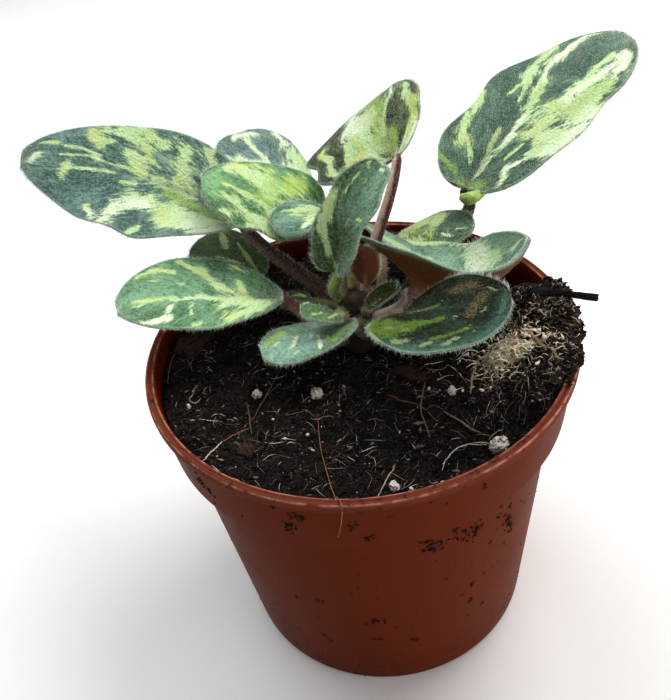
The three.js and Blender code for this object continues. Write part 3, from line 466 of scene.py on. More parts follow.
def linear(colour):
    """A colour given as it looks on a screen, 0 to 255, as the shader wants it."""
    parts = [c / 255 for c in colour]
    return tuple(c / 12.92 if c <= 0.04045 else ((c + 0.055) / 1.055) ** 2.4 for c in parts) + (1.0,)


def dimmed(colour, share):
    """A shader colour with only a share of its light."""
    return tuple(share * c for c in colour[:3]) + (1.0,)


class Wire:
    """A value on its way through a material's nodes, so that shader maths reads as plain sums."""

    def __init__(self, recipe, socket):
        self.recipe = recipe
        self.socket = socket

    def maths(self, operation, *values, clamp=False):
        settings = {"operation": operation, "use_clamp": clamp}
        return self.recipe.node("ShaderNodeMath", settings, dict(enumerate(values)))

    def __add__(self, other):
        return self.maths("ADD", self, other)

    __radd__ = __add__

    def __sub__(self, other):
        return self.maths("SUBTRACT", self, other)

    def __rsub__(self, other):
        return self.maths("SUBTRACT", other, self)

    def __mul__(self, other):
        return self.maths("MULTIPLY", self, other)

    __rmul__ = __mul__

    def __pow__(self, other):
        return self.maths("POWER", self, other)

    def __abs__(self):
        return self.maths("ABSOLUTE", self)

    def clamped(self):
        return self.maths("ADD", self, 0.0, clamp=True)

    def step(self, low, high):
        """0 below low, 1 above high and a soft change between them."""
        return self.recipe.node(
            "ShaderNodeMapRange",
            {"interpolation_type": "SMOOTHSTEP"},
            {"Value": self, "From Min": low, "From Max": high},
        )


class Recipe:
    """One material and the nodes that make it."""

    def __init__(self, name):
        self.material = bpy.data.materials.new(name)
        self.material.use_nodes = True
        self.tree = self.material.node_tree
        self.tree.nodes.clear()

    def node(self, kind, settings=None, inputs=None, output=0):
        """Any node: its settings are set first, then the values or links of its sockets."""
        made = self.tree.nodes.new(kind)
        for key, value in (settings or {}).items():
            if key == "stops":
                self.set_stops(made.color_ramp, value)
            else:
                setattr(made, key, value)
        for key, value in (inputs or {}).items():
            if isinstance(value, Wire):
                self.tree.links.new(value.socket, made.inputs[key])
            elif value is not None:
                made.inputs[key].default_value = value
        return Wire(self, made.outputs[output]) if made.outputs else None

    def set_stops(self, ramp, stops):
        while len(ramp.elements) < len(stops):
            ramp.elements.new(1.0)
        for element, (place, colour) in zip(ramp.elements, stops):
            element.position = place
            element.color = colour

    def parts_of(self, wire, count=3):
        """The first few outputs of the node that a wire comes from."""
        return [Wire(self, socket) for socket in wire.socket.node.outputs[:count]]

    def mix(self, factor, first, second):
        return self.node("ShaderNodeMix", {"data_type": "RGBA"}, {0: factor, 6: first, 7: second}, output=2)

    def ramp(self, value, *stops):
        """A colour for each value, from stops of place and screen colour."""
        stops = [(place, linear(colour)) for place, colour in stops]
        return self.node("ShaderNodeValToRGB", {"stops": stops}, {0: value})

    def noise(self, vector, scale, detail=3.0, roughness=0.5, distortion=0.0):
        inputs = {"Vector": vector, "Scale": scale, "Detail": detail}
        inputs.update({"Roughness": roughness, "Distortion": distortion})
        return self.node("ShaderNodeTexNoise", None, inputs)

    def cells(self, vector, scale):
        return self.node("ShaderNodeTexVoronoi", None, {"Vector": vector, "Scale": scale})

    def place(self):
        """The place on the object, in metres."""
        return self.node("ShaderNodeTexCoord", output=3)

    def stretched(self, scale, turn=(0, 0, 0)):
        inputs = {"Vector": self.place(), "Rotation": turn, "Scale": scale}
        return self.node("ShaderNodeMapping", None, inputs)

    def split(self, vector):
        return self.parts_of(self.node("ShaderNodeSeparateXYZ", None, {0: vector}))

    def join(self, x, y, z):
        return self.node("ShaderNodeCombineXYZ", None, {0: x, 1: y, 2: z})

    def painted(self, name):
        """The red, green, blue and alpha of an attribute of the piece."""
        made = self.node("ShaderNodeAttribute", {"attribute_name": name})
        alpha = Wire(self, made.socket.node.outputs["Alpha"])
        return self.parts_of(self.node("ShaderNodeSeparateColor", None, {0: made})) + [alpha]

    def bump(self, height, distance, strength=1.0, below=None):
        inputs = {"Height": height, "Distance": distance, "Strength": strength, "Normal": below}
        return self.node("ShaderNodeBump", None, inputs)

    def finish(self, colour, roughness, normal=None, **constants):
        """The surface itself. Constants are set on the shader's own sockets."""
        inputs = {"Base Color": colour, "Roughness": roughness, "Normal": normal}
        inputs.update({key.replace("_", " "): value for key, value in constants.items()})
        surface = self.node("ShaderNodeBsdfPrincipled", None, inputs)
        self.node("ShaderNodeOutputMaterial", None, {"Surface": surface})
        return self.material


def leaf_finish(name, leaf):
    """A variegated, velvety leaf: its two faces and its stalk."""
    ground, second, under, stalk, stalk_lit_side = [linear(c) for c in leaf["colours"]]
    looks = bpy.context.scene.violet_leaves
    # Painted shade: a leaf with little bloom is darker all over, also in its pale marks
    lit = min(1.0, 0.35 + leaf["bloom_and_light"])
    cream, white, bright = [dimmed(mark, lit) for mark in (looks.cream, looks.white, looks.bright)]
    recipe = Recipe(name)
    s, across, _ = recipe.split(recipe.node("ShaderNodeUVMap", {"uv_map": "UVMap"}))
    v = across * 2.0 - 1.0
    reach = abs(v)
    half = leaf["width"] / 2
    own = float(sum(leaf["base"]))
    is_right = v.step(-0.01, 0.01)
    # Places along the side veins and across them, in millimetres
    angles = [math.atan(slant) for slant in leaf["veins"]]
    cosine = math.cos(angles[0]) + is_right * (math.cos(angles[1]) - math.cos(angles[0]))
    sine = math.sin(angles[0]) + is_right * (math.sin(angles[1]) - math.sin(angles[0]))
    forward = s * leaf["length"]
    outward = reach * half
    across_veins = forward * cosine - outward * sine
    along_veins = forward * sine + outward * cosine
    side = is_right * 9.0 + own
    blotch = recipe.noise(recipe.join(across_veins * 0.42, along_veins * 0.2, side), 1.0, 3.0, 0.55)
    streak = recipe.noise(recipe.join(across_veins * 1.0, along_veins * 0.24, side), 1.0, 4.0, 0.65)
    thin = recipe.noise(recipe.join(across_veins * 2.9, along_veins * 0.4, side), 1.0, 3.0, 0.62)
    fleck = recipe.noise(recipe.join(across_veins * 3.4, along_veins * 2.2, side), 1.0, 3.0, 0.65)
    pale, whiteness, brightness, sheen_greyness = recipe.painted("paint")
    under_part, stalk_part, vein_and_stalk_light, dry = recipe.painted("part")
    ragged = (blotch - 0.5) * 2.2 + (streak - 0.5) * 2.6 + (thin - 0.5) * 2.4 + (fleck - 0.5) * 2.2
    amount = pale * 1.04 + ragged * (0.36 + pale * 0.5) * (1.0 - pale * 0.25)
    is_middle = amount.step(0.26, 0.5)
    is_pale = amount.step(0.52, 0.64)
    place = recipe.place()
    cloud = recipe.noise(place, 150.0, 3.0)
    grain = recipe.noise(place, 1300.0, 3.0, 0.65)
    sparkle = recipe.noise(place, 2500.0, 2.0, 0.6)
    mottling = (cloud - 0.5) * 2.2 + (blotch - 0.5) * 1.4 + (streak - 0.5) * 1.4
    # Painted sheen: blue grey marks, and the bloom of a hairy leaf, turn the ground toward the second ground
    tone = sheen_greyness * 0.9 + mottling * lit + leaf["bloom_and_light"] * 0.2
    green = recipe.mix(tone.clamped(), ground, second)
    green = recipe.mix((brightness + (fleck - 0.5) * 1.3).step(0.35, 0.75), green, bright)
    green = recipe.mix(grain.step(0.42, 0.7) * (0.4 * lit), green, second)
    green = recipe.mix((1.0 - grain.step(0.32, 0.54)) * 0.45, green, dimmed(ground, 0.45))
    green = recipe.mix(thin.step(0.6, 0.74) * 0.4, green, cream)
    warmth = ((cloud - 0.46) * 5.0 + (blotch - 0.5) * 2.0).clamped() * (1.0 - whiteness * 0.8)
    yellow = dimmed(linear((208, 210, 118)), lit)
    light = recipe.mix(warmth * leaf.get("warmth", USUAL_WARMTH), cream, yellow)
    light = recipe.mix((whiteness + (streak - 0.5) * 0.7).clamped(), light, white)
    tinge = ((thin - 0.5) * 1.6 + (fleck - 0.5) * 2.2 + 0.1 + brightness * 0.5).clamped()
    light = recipe.mix(tinge * (1.0 - whiteness * 0.7), light, bright)
    upper = recipe.mix(is_middle * 0.5, green, recipe.mix(0.5, green, light))
    upper = recipe.mix(is_pale, upper, light)
    upper = recipe.mix(vein_and_stalk_light * 0.25, upper, second)
    dry_skin = recipe.mix(fleck.step(0.35, 0.65), linear((34, 26, 14)), linear((142, 126, 92)))
    upper = recipe.mix((dry + (thin - 0.5) * 1.6 + (fleck - 0.5) * 2.0).step(0.5, 0.9) * 0.8, upper, dry_skin)
    # Painted sheen of the hairs: fine pale glints over the upper face and a pale band along the edge
    painted_sheen = sparkle.step(0.56, 0.7) * 0.28 * leaf["bloom_and_light"] + reach.step(0.95, 1.0) * 0.3
    upper = recipe.mix(painted_sheen, upper, linear((206, 222, 206)))
    lower = recipe.mix((cloud * 0.7 + vein_and_stalk_light * 0.5).clamped(), under, dimmed(under, 0.5))
    lower = recipe.mix((streak * 2.4 - 0.9).clamped() * 0.55, lower, linear((78, 84, 40)))
    lower = recipe.mix(is_pale * 0.35, lower, light)
    lower = recipe.mix(reach.step(0.84, 0.95) * 0.5, lower, light)
    streaks = recipe.noise(recipe.stretched((1.0, 1.0, 0.25)), 900.0, 3.0)
    # On the stalk, painted light: its side that faces left is paler
    shade = (vein_and_stalk_light * 1.8 - 0.4 + (streaks - 0.5) * 0.9).clamped()
    stem = recipe.mix(shade, stalk, stalk_lit_side)
    # Painted glints on the stalk's hairs
    stem = recipe.mix(sparkle.step(0.55, 0.7) * 0.25, stem, linear((214, 200, 190)))
    colour = recipe.mix(under_part, upper, lower)
    colour = recipe.mix(stalk_part, colour, stem)
    pebbles = recipe.cells(place, 1500.0)
    relief = recipe.bump(pebbles, 0.0003, 0.5)
    relief = recipe.bump(grain, 0.0003, 0.7, relief)
    rough = grain * 0.25 + 0.4 + is_pale * 0.05
    return recipe.finish(
        colour, rough, relief,
        Sheen_Weight=0.3 * leaf["bloom_and_light"], Sheen_Roughness=0.4, Specular_IOR_Level=0.1 + 0.18 * leaf["bloom_and_light"],
        Subsurface_Weight=0.06, Subsurface_Radius=(0.6, 1.0, 0.3), Subsurface_Scale=0.001,
    )


def hair_finish():
    """Fine pale leaf hairs."""
    recipe = Recipe("leaf_hair")
    tone = recipe.noise(recipe.place(), 900.0, 2.0)
    colour = recipe.ramp(tone, (0.3, (206, 220, 204)), (0.7, (248, 250, 242)))
    return recipe.finish(colour, tone * 0.2 + 0.35, Specular_IOR_Level=0.5)


def crown_finish():
    """The short, fibrous crown."""
    recipe = Recipe("crown_skin")
    bands = recipe.noise(recipe.stretched((1.0, 1.0, 3.0)), 420.0, 5.0, 0.65)
    colour = recipe.ramp(bands, (0.25, (26, 19, 14)), (0.5, (62, 46, 32)), (0.75, (98, 82, 56)))
    relief = recipe.bump(bands, 0.0008, 0.8)
    return recipe.finish(colour, bands * 0.3 + 0.5, relief)


def pot_finish():
    """Terracotta-coloured moulded plastic, dusty and smeared with soil, with painted light on its lip and
    painted shade inside its wall.
    """
    looks = bpy.context.scene.violet_pot
    recipe = Recipe("pot_plastic")
    place = recipe.place()
    x, y, z = recipe.split(place)
    clay = tuple(looks.colour) + (1.0,)
    faded = tuple(looks.faded_colour) + (1.0,)
    flow = recipe.noise(recipe.stretched((1.0, 1.0, 0.12)), 60.0, 4.0, 0.55)
    mottle = recipe.noise(place, 90.0, 4.0, 0.6)
    base = recipe.mix((flow * 0.6 + mottle * 0.5 - 0.25).clamped() * 0.5, clay, faded)
    radius = (x * x + y * y) ** 0.5
    # Painted light: the lip gets a lighter colour, as its top catches the light
    on_lip = z.step(0.0752, 0.0764) * radius.step(0.0428, 0.0434)
    base = recipe.mix(on_lip * 0.45, base, tuple(looks.lip_colour) + (1.0,))
    # Painted highlight, partly wear: the lip's two edges are paler in broken streaks
    rubbed_and_highlit = recipe.noise(place, 320.0, 4.0, 0.65).step(0.36, 0.62)
    edges = (1.0 - abs(radius - 0.0447) * 4200.0).clamped() + (1.0 - abs(radius - 0.0433) * 4200.0).clamped()
    base = recipe.mix(on_lip * edges.clamped() * rubbed_and_highlit * 0.75, base, linear((214, 158, 140)))
    soiled = recipe.noise(place, 420.0, 4.0, 0.7).step(0.55, 0.68)
    base = recipe.mix(z.step(0.074, 0.0755) * soiled * 0.75, base, linear((40, 24, 18)))
    # Painted shade: the inside of the wall above the soil is a darker red
    inside = (1.0 - radius.step(0.0424, 0.043)) * z.step(0.06, 0.066)
    base = recipe.mix(inside * 0.75, base, linear((86, 20, 16)))
    dust = recipe.noise(place, 700.0, 5.0, 0.7).step(0.56, 0.8)
    low = 1.0 - z.step(0.002, 0.03)
    high = z.step(0.05, 0.074)
    dust_amount = dust * (low * 0.5 + high * 0.25 + 0.14)
    base = recipe.mix(dust_amount, base, linear((46, 28, 20)))
    pale_dust = recipe.noise(place, 1600.0, 3.0, 0.6).step(0.68, 0.8)
    base = recipe.mix(pale_dust * 0.3, base, linear((190, 140, 116)))
    scuffs = recipe.noise(recipe.stretched((1.0, 1.0, 9.0)), 240.0, 3.0, 0.7)
    rough = 0.34 + mottle * 0.16 + dust_amount * 0.5 + scuffs.step(0.6, 0.8) * 0.12
    relief = recipe.bump(recipe.noise(recipe.stretched((1.0, 1.0, 0.2)), 180.0, 3.0), 0.0003, 0.25)
    relief = recipe.bump(recipe.noise(place, 3800.0, 2.0), 0.00006, 0.35, relief)
    return recipe.finish(base, rough, relief, Specular_IOR_Level=0.05)


def peat_finish():
    """Dark, moist, fibrous peat."""
    looks = bpy.context.scene.violet_soil
    recipe = Recipe("peat")
    place = recipe.place()
    _, _, z = recipe.split(place)
    lumps = recipe.noise(place, 420.0, 5.0, 0.7)
    crumbs = recipe.cells(place, 1300.0)
    fibres = recipe.noise(recipe.stretched((1.0, 0.16, 1.0), (0, 0, 0.7)), 2600.0, 3.0, 0.6)
    other = recipe.noise(recipe.stretched((0.18, 1.0, 1.0), (0, 0, -0.4)), 2300.0, 3.0, 0.6)
    dark = tuple(looks.dark) + (1.0,)
    brown = tuple(looks.brown) + (1.0,)
    dry = z.step(0.0735, 0.0785)
    base = recipe.mix((lumps + dry * 0.2).step(0.36, 0.75), dark, brown)
    base = recipe.mix(fibres.step(0.6, 0.72) * (0.5 + dry * 0.4), base, linear((92, 66, 50)))
    base = recipe.mix(other.step(0.63, 0.74) * (0.35 + dry * 0.4), base, linear((112, 90, 72)))
    grit = recipe.noise(place, 2300.0, 3.0, 0.6)
    base = recipe.mix((1.0 - grit.step(0.38, 0.5)) * 0.6, base, dark)
    base = recipe.mix(grit.step(0.6, 0.7) * 0.6, base, linear((128, 114, 102)))
    height = lumps * 1.2 + crumbs * 0.6 + fibres * 0.5
    relief = recipe.bump(height, 0.0012, 0.9)
    rough = 0.95 - lumps.step(0.3, 0.6) * 0.15
    return recipe.finish(base, rough, relief, Specular_IOR_Level=0.25)


def bits_finish(name, low, middle, high):
    """Small loose bits whose tone is an attribute of each bit."""
    recipe = Recipe(name)
    tone = recipe.painted("tone")[0]
    grain = recipe.noise(recipe.place(), 1900.0, 3.0, 0.6)
    value = (tone + (grain - 0.5) * 0.35).clamped()
    colour = recipe.ramp(value, (0.0, low), (0.5, middle), (1.0, high))
    relief = recipe.bump(grain, 0.0004, 0.7)
    return recipe.finish(colour, grain * 0.2 + 0.75, relief, Specular_IOR_Level=0.3)


def perlite_finish():
    """Porous, chalky perlite with soil in its pores."""
    recipe = Recipe("perlite_foam")
    place = recipe.place()
    pores = recipe.cells(place, 1700.0)
    stain = recipe.noise(place, 900.0, 4.0, 0.65)
    colour = recipe.mix(pores.step(0.05, 0.45), linear((88, 78, 70)), linear((218, 214, 206)))
    colour = recipe.mix(stain.step(0.48, 0.7) * 0.7, colour, linear((104, 88, 76)))
    relief = recipe.bump(pores, 0.0003, 0.8)
    return recipe.finish(colour, stain * 0.1 + 0.85, relief, Specular_IOR_Level=0.3)


def bark_finish(name, dark, light):
    """Broken bark with grain along its length."""
    recipe = Recipe(name)
    grain = recipe.noise(recipe.stretched((1.0, 1.0, 2.0)), 700.0, 5.0, 0.7, 0.6)
    fine = recipe.noise(recipe.place(), 2600.0, 3.0, 0.6)
    colour = recipe.mix((grain * 0.8 + fine * 0.4 - 0.1).step(0.3, 0.8), linear(dark), linear(light))
    relief = recipe.bump(grain + fine * 0.5, 0.0006, 0.8)
    return recipe.finish(colour, fine * 0.2 + 0.65, relief, Specular_IOR_Level=0.35)


def floor_finish():
    """A plain pale floor with a faint tooth."""
    recipe = Recipe("floor")
    tooth = recipe.noise(recipe.place(), 300.0, 3.0)
    colour = recipe.mix(tooth * 0.2, (0.9, 0.9, 0.9, 1.0), (0.86, 0.86, 0.86, 1.0))
    return recipe.finish(colour, tooth * 0.1 + 0.75)


def deselect():
    if bpy.context.object and bpy.context.object.mode != "OBJECT":
        bpy.ops.object.mode_set(mode="OBJECT")
    bpy.ops.object.select_all(action="DESELECT")


def only(piece):
    """Selects one piece alone and makes it the active one."""
    deselect()
    piece.select_set(True)
    bpy.context.view_layer.objects.active = piece


def named(name):
    """The object that the last operator made, with its name."""
    piece = bpy.context.object
    piece.name = name
    piece.data.name = name
    return piece


def apply_all(piece):
    """Applies the piece's place, turn and size, and then its modifiers."""
    only(piece)
    bpy.ops.object.transform_apply()
    for modifier in list(piece.modifiers):
        bpy.ops.object.modifier_apply(modifier=modifier.name)


def smoothed(piece):
    """The finished piece, with its modifiers applied and its faces shaded smooth."""
    apply_all(piece)
    bpy.ops.object.shade_smooth()
    return piece


def join_all(pieces, name):
    deselect()
    for piece in pieces:
        piece.select_set(True)
    bpy.context.view_layer.objects.active = pieces[0]
    bpy.ops.object.join()
    return named(name)


def values_of(mesh, key):
    """Three numbers for each vertex, such as its place or its normal."""
    flat = np.empty(len(mesh.vertices) * 3)
    mesh.vertices.foreach_get(key, flat)
    return flat.reshape(-1, 3)


def places_of(mesh):
    return values_of(mesh, "co")


def set_places(mesh, points):
    mesh.vertices.foreach_set("co", np.asarray(points, dtype=float).ravel())
    mesh.update()


def corners_of(mesh):
    """The vertex at each corner of the mesh's faces."""
    corners = np.empty(len(mesh.loops), dtype=int)
    mesh.loops.foreach_get("vertex_index", corners)
    return corners


def set_attribute(mesh, name, *parts):
    """Paints four numbers on each vertex, as the red, green, blue and alpha of an attribute."""
    layer = mesh.attributes.get(name) or mesh.attributes.new(name, "FLOAT_COLOR", "POINT")
    values = np.stack(parts, -1) if len(parts) > 1 else parts[0]
    layer.data.foreach_set("color", np.asarray(values, dtype=float).ravel())


def set_tone(mesh, tone):
    set_attribute(mesh, "tone", tone, tone, tone, np.ones_like(tone))


def hand_over(piece, slot, material, *nodes):
    """Gives a finished piece its material and body, and hides the nodes that it stands for. The slot is not
    used.
    """
    piece.data.materials.clear()
    piece.data.materials.append(material)
    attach(piece, BODY)
    if nodes:
        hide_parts(*nodes)


def roughen(piece, name, size, amount):
    """Pushes a surface in and out by a cloud of lumps. The lumps' size and the amount are in millimetres."""
    texture = bpy.data.textures.new(name, "CLOUDS")
    texture.noise_scale = size * MM
    texture.noise_depth = 3
    modifier = piece.modifiers.new(name, "DISPLACE")
    modifier.texture = texture
    modifier.texture_coords = "LOCAL"
    modifier.strength = amount * MM
    modifier.mid_level = 0.5


def direction(heading, pitch):
    """The way that a heading and a pitch in degrees point."""
    turn, rise = np.radians(heading), np.radians(pitch)
    return np.stack([np.cos(turn) * np.cos(rise), np.sin(turn) * np.cos(rise), np.sin(rise)], -1)


def blend(pair, s):
    return pair[0] + (pair[1] - pair[0]) * s


def midrib(leaf, s):
    """The midrib's points and the blade's own axes at each s."""
    fine = np.linspace(0, 1, 241)
    along = direction(blend(leaf["heading"], fine), blend(leaf["pitch"], fine))
    steps = (along[1:] + along[:-1]) / 2 * (leaf["length"] / 240)
    run = np.vstack([np.zeros(3), np.cumsum(steps, 0)]) + np.array(leaf["base"])
    point = np.stack([np.interp(s, fine, run[:, k]) for k in range(3)], -1)
    along = direction(blend(leaf["heading"], s), blend(leaf["pitch"], s))
    level = np.cross(along, (0.0, 0.0, 1.0))
    level /= np.linalg.norm(level, axis=-1, keepdims=True)
    above = np.cross(level, along)
    roll = np.radians(blend(leaf["roll"], s))[:, None]
    side = level * np.cos(roll) + above * np.sin(roll)
    up = above * np.cos(roll) - level * np.sin(roll)
    return point, along, side, up


def blade(leaf, s, v):
    """The middle of the blade's thickness and the blade's normal at each (s, v)."""
    point, along, side, up = midrib(leaf, s)
    right = v >= 0
    reach = np.abs(v)
    outline = np.maximum(0, 1 - np.abs(2 * s ** leaf["taper"] - 1) ** leaf["round"]) ** (1 / leaf["round"])
    ripple = np.sin(2 * np.pi * (2.5 * s + leaf["wave"][2]) + np.where(right, 2, 0)) * np.sin(np.pi * s)
    share = np.where(right, 1 - leaf["left_share"], leaf["left_share"])
    share = share * (1 + np.where(right, leaf["wave"][1], leaf["wave"][0]) * ripple)
    half = leaf["width"] * outline * share
    fold = np.where(right, leaf["fold"][1], leaf["fold"][0]) + leaf["base_fold"] * (1 - s) ** 2
    turned = fold + leaf["cup"] * reach
    out = (np.sin(turned) - np.sin(fold)) / leaf["cup"] * np.where(right, 1, -1)
    rise = (np.cos(fold) - np.cos(turned)) / leaf["cup"]
    back = leaf["lobe"] * leaf["width"] * reach ** 2 * (1 - s) ** 3 * (1 - np.exp(-30 * s))
    normal = up * np.cos(turned)[:, None] - side * (np.sin(turned) * np.sign(v))[:, None]
    place = point + side * (half * out)[:, None] + up * (half * rise)[:, None] - along * back[:, None]
    return place, normal


def thickness(leaf, s, v):
    """The blade's thickness, less at its edge and in small leaves."""
    size = min(1.0, leaf["width"] / 20)
    middle = EDGE_THICKNESS + (MIDDLE_THICKNESS - EDGE_THICKNESS) * size * np.sqrt(np.abs(np.sin(np.pi * s)))
    return EDGE_THICKNESS + (middle - EDGE_THICKNESS) * (1 - v * v)


def vein_lines(leaf, s, v):
    """1 on the midrib and the side veins, falling to 0 between them."""
    half = leaf["width"] / 2
    slant = np.clip(np.abs(np.where(v > 0, leaf["veins"][1], leaf["veins"][0])), 0.8, 2.2)
    spacing = max(1.7, leaf["length"] / 11) * np.sqrt(1 + slant ** 2) / 1.5
    reach = np.abs(v)
    ahead = s * leaf["length"] - reach * half * slant * (1 + 0.15 * reach)
    phase = ahead / spacing + np.where(v > 0, 0.4, 0)
    apart = np.abs(phase - np.round(phase)) * spacing
    side_veins = np.exp(-(apart / 0.28) ** 2) * (1 - reach ** 3) * (0.35 + 0.65 * np.exp(-reach * 1.5))
    middle = np.exp(-(reach * half / (0.3 + 0.5 * (1 - s))) ** 2)
    return np.maximum(side_veins, middle * (1 - 0.6 * s))


def paint(leaf, s, v):
    """Soft amounts of pale, white, bright green and blue grey painted sheen, and of dry brown, from the
    leaf's markings.
    """
    half = leaf["width"] / 2
    pale = np.zeros_like(s)
    white = np.zeros_like(s)
    bright = np.zeros_like(s)
    grey = np.zeros_like(s)
    dry = np.zeros_like(s)
    scale = leaf["length"] / half
    for kind, *hundredths in leaf["marks"]:
        s0, v0, s1, v1, wide = [value / 100 for value in hundredths]
        run = np.array([(s1 - s0) * scale, v1 - v0])
        span = max(1e-6, float(run @ run))
        dx, dy = (s - s0) * scale, v - v0
        t = np.clip((dx * run[0] + dy * run[1]) / span, 0, 1)
        apart = np.hypot(dx - t * run[0], dy - t * run[1])
        amount = np.exp(-((apart / wide) ** 1.3) * 0.8)
        if kind in "yw":
            pale = pale + (1 - pale) * amount
            white = white * (1 - amount) + (amount if kind == "w" else 0)
        elif kind == "d":
            pale = pale * (1 - amount)
        elif kind == "b":
            bright = bright + (1 - bright) * amount
        elif kind == "r":
            dry = dry + (1 - dry) * amount
        else:
            grey = grey + (1 - grey) * amount
    return np.stack([pale, white, bright, grey], -1), dry


def stalk_points(leaf):
    """The four points that steer the stalk from the crown to the blade, and its end inside the blade."""
    stalk = leaf["stalk"]
    outward = direction(stalk["azimuth"], 0)
    root = np.array([CROWN_X, CROWN_Y, stalk["height"]]) + outward * STALK_ROOT_RADIUS
    base = np.array(leaf["base"], dtype=float)
    span = np.linalg.norm(base - root)
    near_root = root + direction(stalk["azimuth"], stalk["rise"]) * span * 0.38
    near_blade = base - direction(*stalk["end"]) * span * 0.36
    point, along, _, up = midrib(leaf, np.array([0.0, 0.13]))
    joint = base - up[0] * stalk["radius"] * 0.5
    inside = point[1] - up[1] * (stalk["radius"] * 0.6 + 0.25)
    return root, near_root, near_blade, joint, inside, along[1]


def curve_tube(name, knots, depth):
    """A closed tube along a curve. A knot is its left handle, place, right handle and share of the depth."""
    bpy.ops.curve.primitive_bezier_curve_add()
    curve = named(name)
    spline = curve.data.splines[0]
    spline.bezier_points.add(len(knots) - 2)
    for point, (left, place, right, size) in zip(spline.bezier_points, knots):
        point.handle_left_type = point.handle_right_type = "FREE"
        point.co = Vector(place) * MM
        point.handle_left = Vector(left) * MM
        point.handle_right = Vector(right) * MM
        point.radius = size
    curve.data.dimensions = "3D"
    curve.data.resolution_u = 22
    curve.data.bevel_depth = depth * MM
    curve.data.bevel_resolution = 4
    curve.data.use_fill_caps = True
    only(curve)
    bpy.ops.object.convert(target="MESH")
    tube_piece = bpy.context.object
    bpy.ops.object.mode_set(mode="EDIT")
    bpy.ops.mesh.select_all(action="SELECT")
    bpy.ops.mesh.remove_doubles(threshold=1e-6)
    bpy.ops.mesh.normals_make_consistent(inside=False)
    bpy.ops.object.mode_set(mode="OBJECT")
    if not tube_piece.data.uv_layers:
        tube_piece.data.uv_layers.new(name="UVMap")
    tube_piece.data.uv_layers[0].name = "UVMap"
    bpy.ops.object.shade_smooth()
    return tube_piece


def make_lobe(name, leaf):
    """The bright green lobe that the blade's base curls into, below the leaf."""
    places = np.array(leaf["curl"], dtype=float)
    ahead = np.gradient(places, axis=0) / 3
    sizes = np.interp(np.linspace(0, 1, len(places)), (0, 0.15, 0.5, 1), (0.55, 1.0, 1.0, 0.6))
    knots = [(place - step, place, place + step, size) for place, step, size in zip(places, ahead, sizes)]
    lobe = curve_tube(name, knots, LOBE_RADIUS)
    mesh = lobe.data
    spots = places_of(mesh) / MM - places[0]
    # Painted light: the lobe is paler toward its top, where light falls
    high = np.clip(spots[:, 2] / 3 + 0.5, 0, 1)
    none = np.zeros(len(spots))
    set_attribute(mesh, "paint", 0.2 + 0.5 * high, none, np.ones(len(spots)), none)
    set_attribute(mesh, "part", none, none, none, none)
    corners = corners_of(mesh)
    along = spots[corners, 0] / leaf["length"] + 0.1
    across = spots[corners, 2] / leaf["width"] + 0.7
    mesh.uv_layers[0].data.foreach_set("uv", np.stack([along, across], -1).ravel())
    return lobe


def make_stalk(name, leaf):
    """A tapering stalk along its curve, from the crown into the blade."""
    root, near_root, near_blade, joint, inside, along = stalk_points(leaf)
    outward = direction(leaf["stalk"]["azimuth"], 0)
    reach = np.linalg.norm(inside - joint)
    arriving = joint - near_blade
    arriving /= np.linalg.norm(arriving)
    turn = float(np.clip(arriving @ along, 0.1, 1))
    knots = [
        (root - outward * 1.2, root, near_root, 1.15),
        (near_blade, joint, joint + arriving * reach * 0.35 * turn, 0.78),
        (inside - along * reach * 0.4, inside, inside + along * 0.2, 0.4),
    ]
    stalk = curve_tube(name, knots, leaf["stalk"]["radius"])
    mesh = stalk.data
    none = np.zeros(len(mesh.vertices))
    # Painted light: the side of the stalk that faces left takes the pale stalk colour, as if lit
    lit_side = np.clip(0.35 - 0.9 * values_of(mesh, "normal")[:, 0], 0, 1)
    set_attribute(mesh, "paint", none, none, none, none)
    set_attribute(mesh, "part", none, np.ones(len(none)), lit_side, none)
    return stalk


def make_blade(name, leaf):
    """A grid shaped into the blade, given its thickness, veins and attributes."""
    columns = int(leaf["length"] * 1.8) + 16
    rows = int(leaf["width"] * 1.8) + 12
    bpy.ops.mesh.primitive_grid_add(x_subdivisions=columns, y_subdivisions=rows, size=2, calc_uvs=True)
    piece = named(name)
    mesh = piece.data
    flat = places_of(mesh)
    s = 0.004 + 0.992 * (1 - np.cos(np.pi * (flat[:, 0] + 1) / 2)) / 2
    v = np.sin(np.clip(flat[:, 1], -1, 1) * 1.25) / math.sin(1.25)
    middle, _ = blade(leaf, s, v)
    set_places(mesh, middle * MM)
    layer = mesh.uv_layers[0]
    layer.name = "UVMap"
    corners = corners_of(mesh)
    layer.data.foreach_set("uv", np.stack([s[corners], (v[corners] + 1) / 2], -1).ravel())
    group = piece.vertex_groups.new(name="thickness")
    for index, depth in enumerate(thickness(leaf, s, v)):
        group.add([index], float(depth / MIDDLE_THICKNESS), "REPLACE")
    skin = piece.modifiers.new("skin", "SOLIDIFY")
    skin.thickness = MIDDLE_THICKNESS * MM
    skin.offset = 0.0
    skin.vertex_group = "thickness"
    skin.thickness_vertex_group = 0.0
    skin.use_rim = True
    apply_all(piece)
    piece.vertex_groups.clear()
    shape_relief(mesh, leaf)
    only(piece)
    bpy.ops.object.shade_smooth()
    return piece


def leaf_places(mesh):
    """The (s, v) of each vertex, read from the piece's own map."""
    flat = np.empty(len(mesh.loops) * 2)
    mesh.uv_layers["UVMap"].data.foreach_get("uv", flat)
    pairs = np.zeros((len(mesh.vertices), 2))
    pairs[corners_of(mesh)] = flat.reshape(-1, 2)
    return pairs[:, 0], pairs[:, 1] * 2 - 1


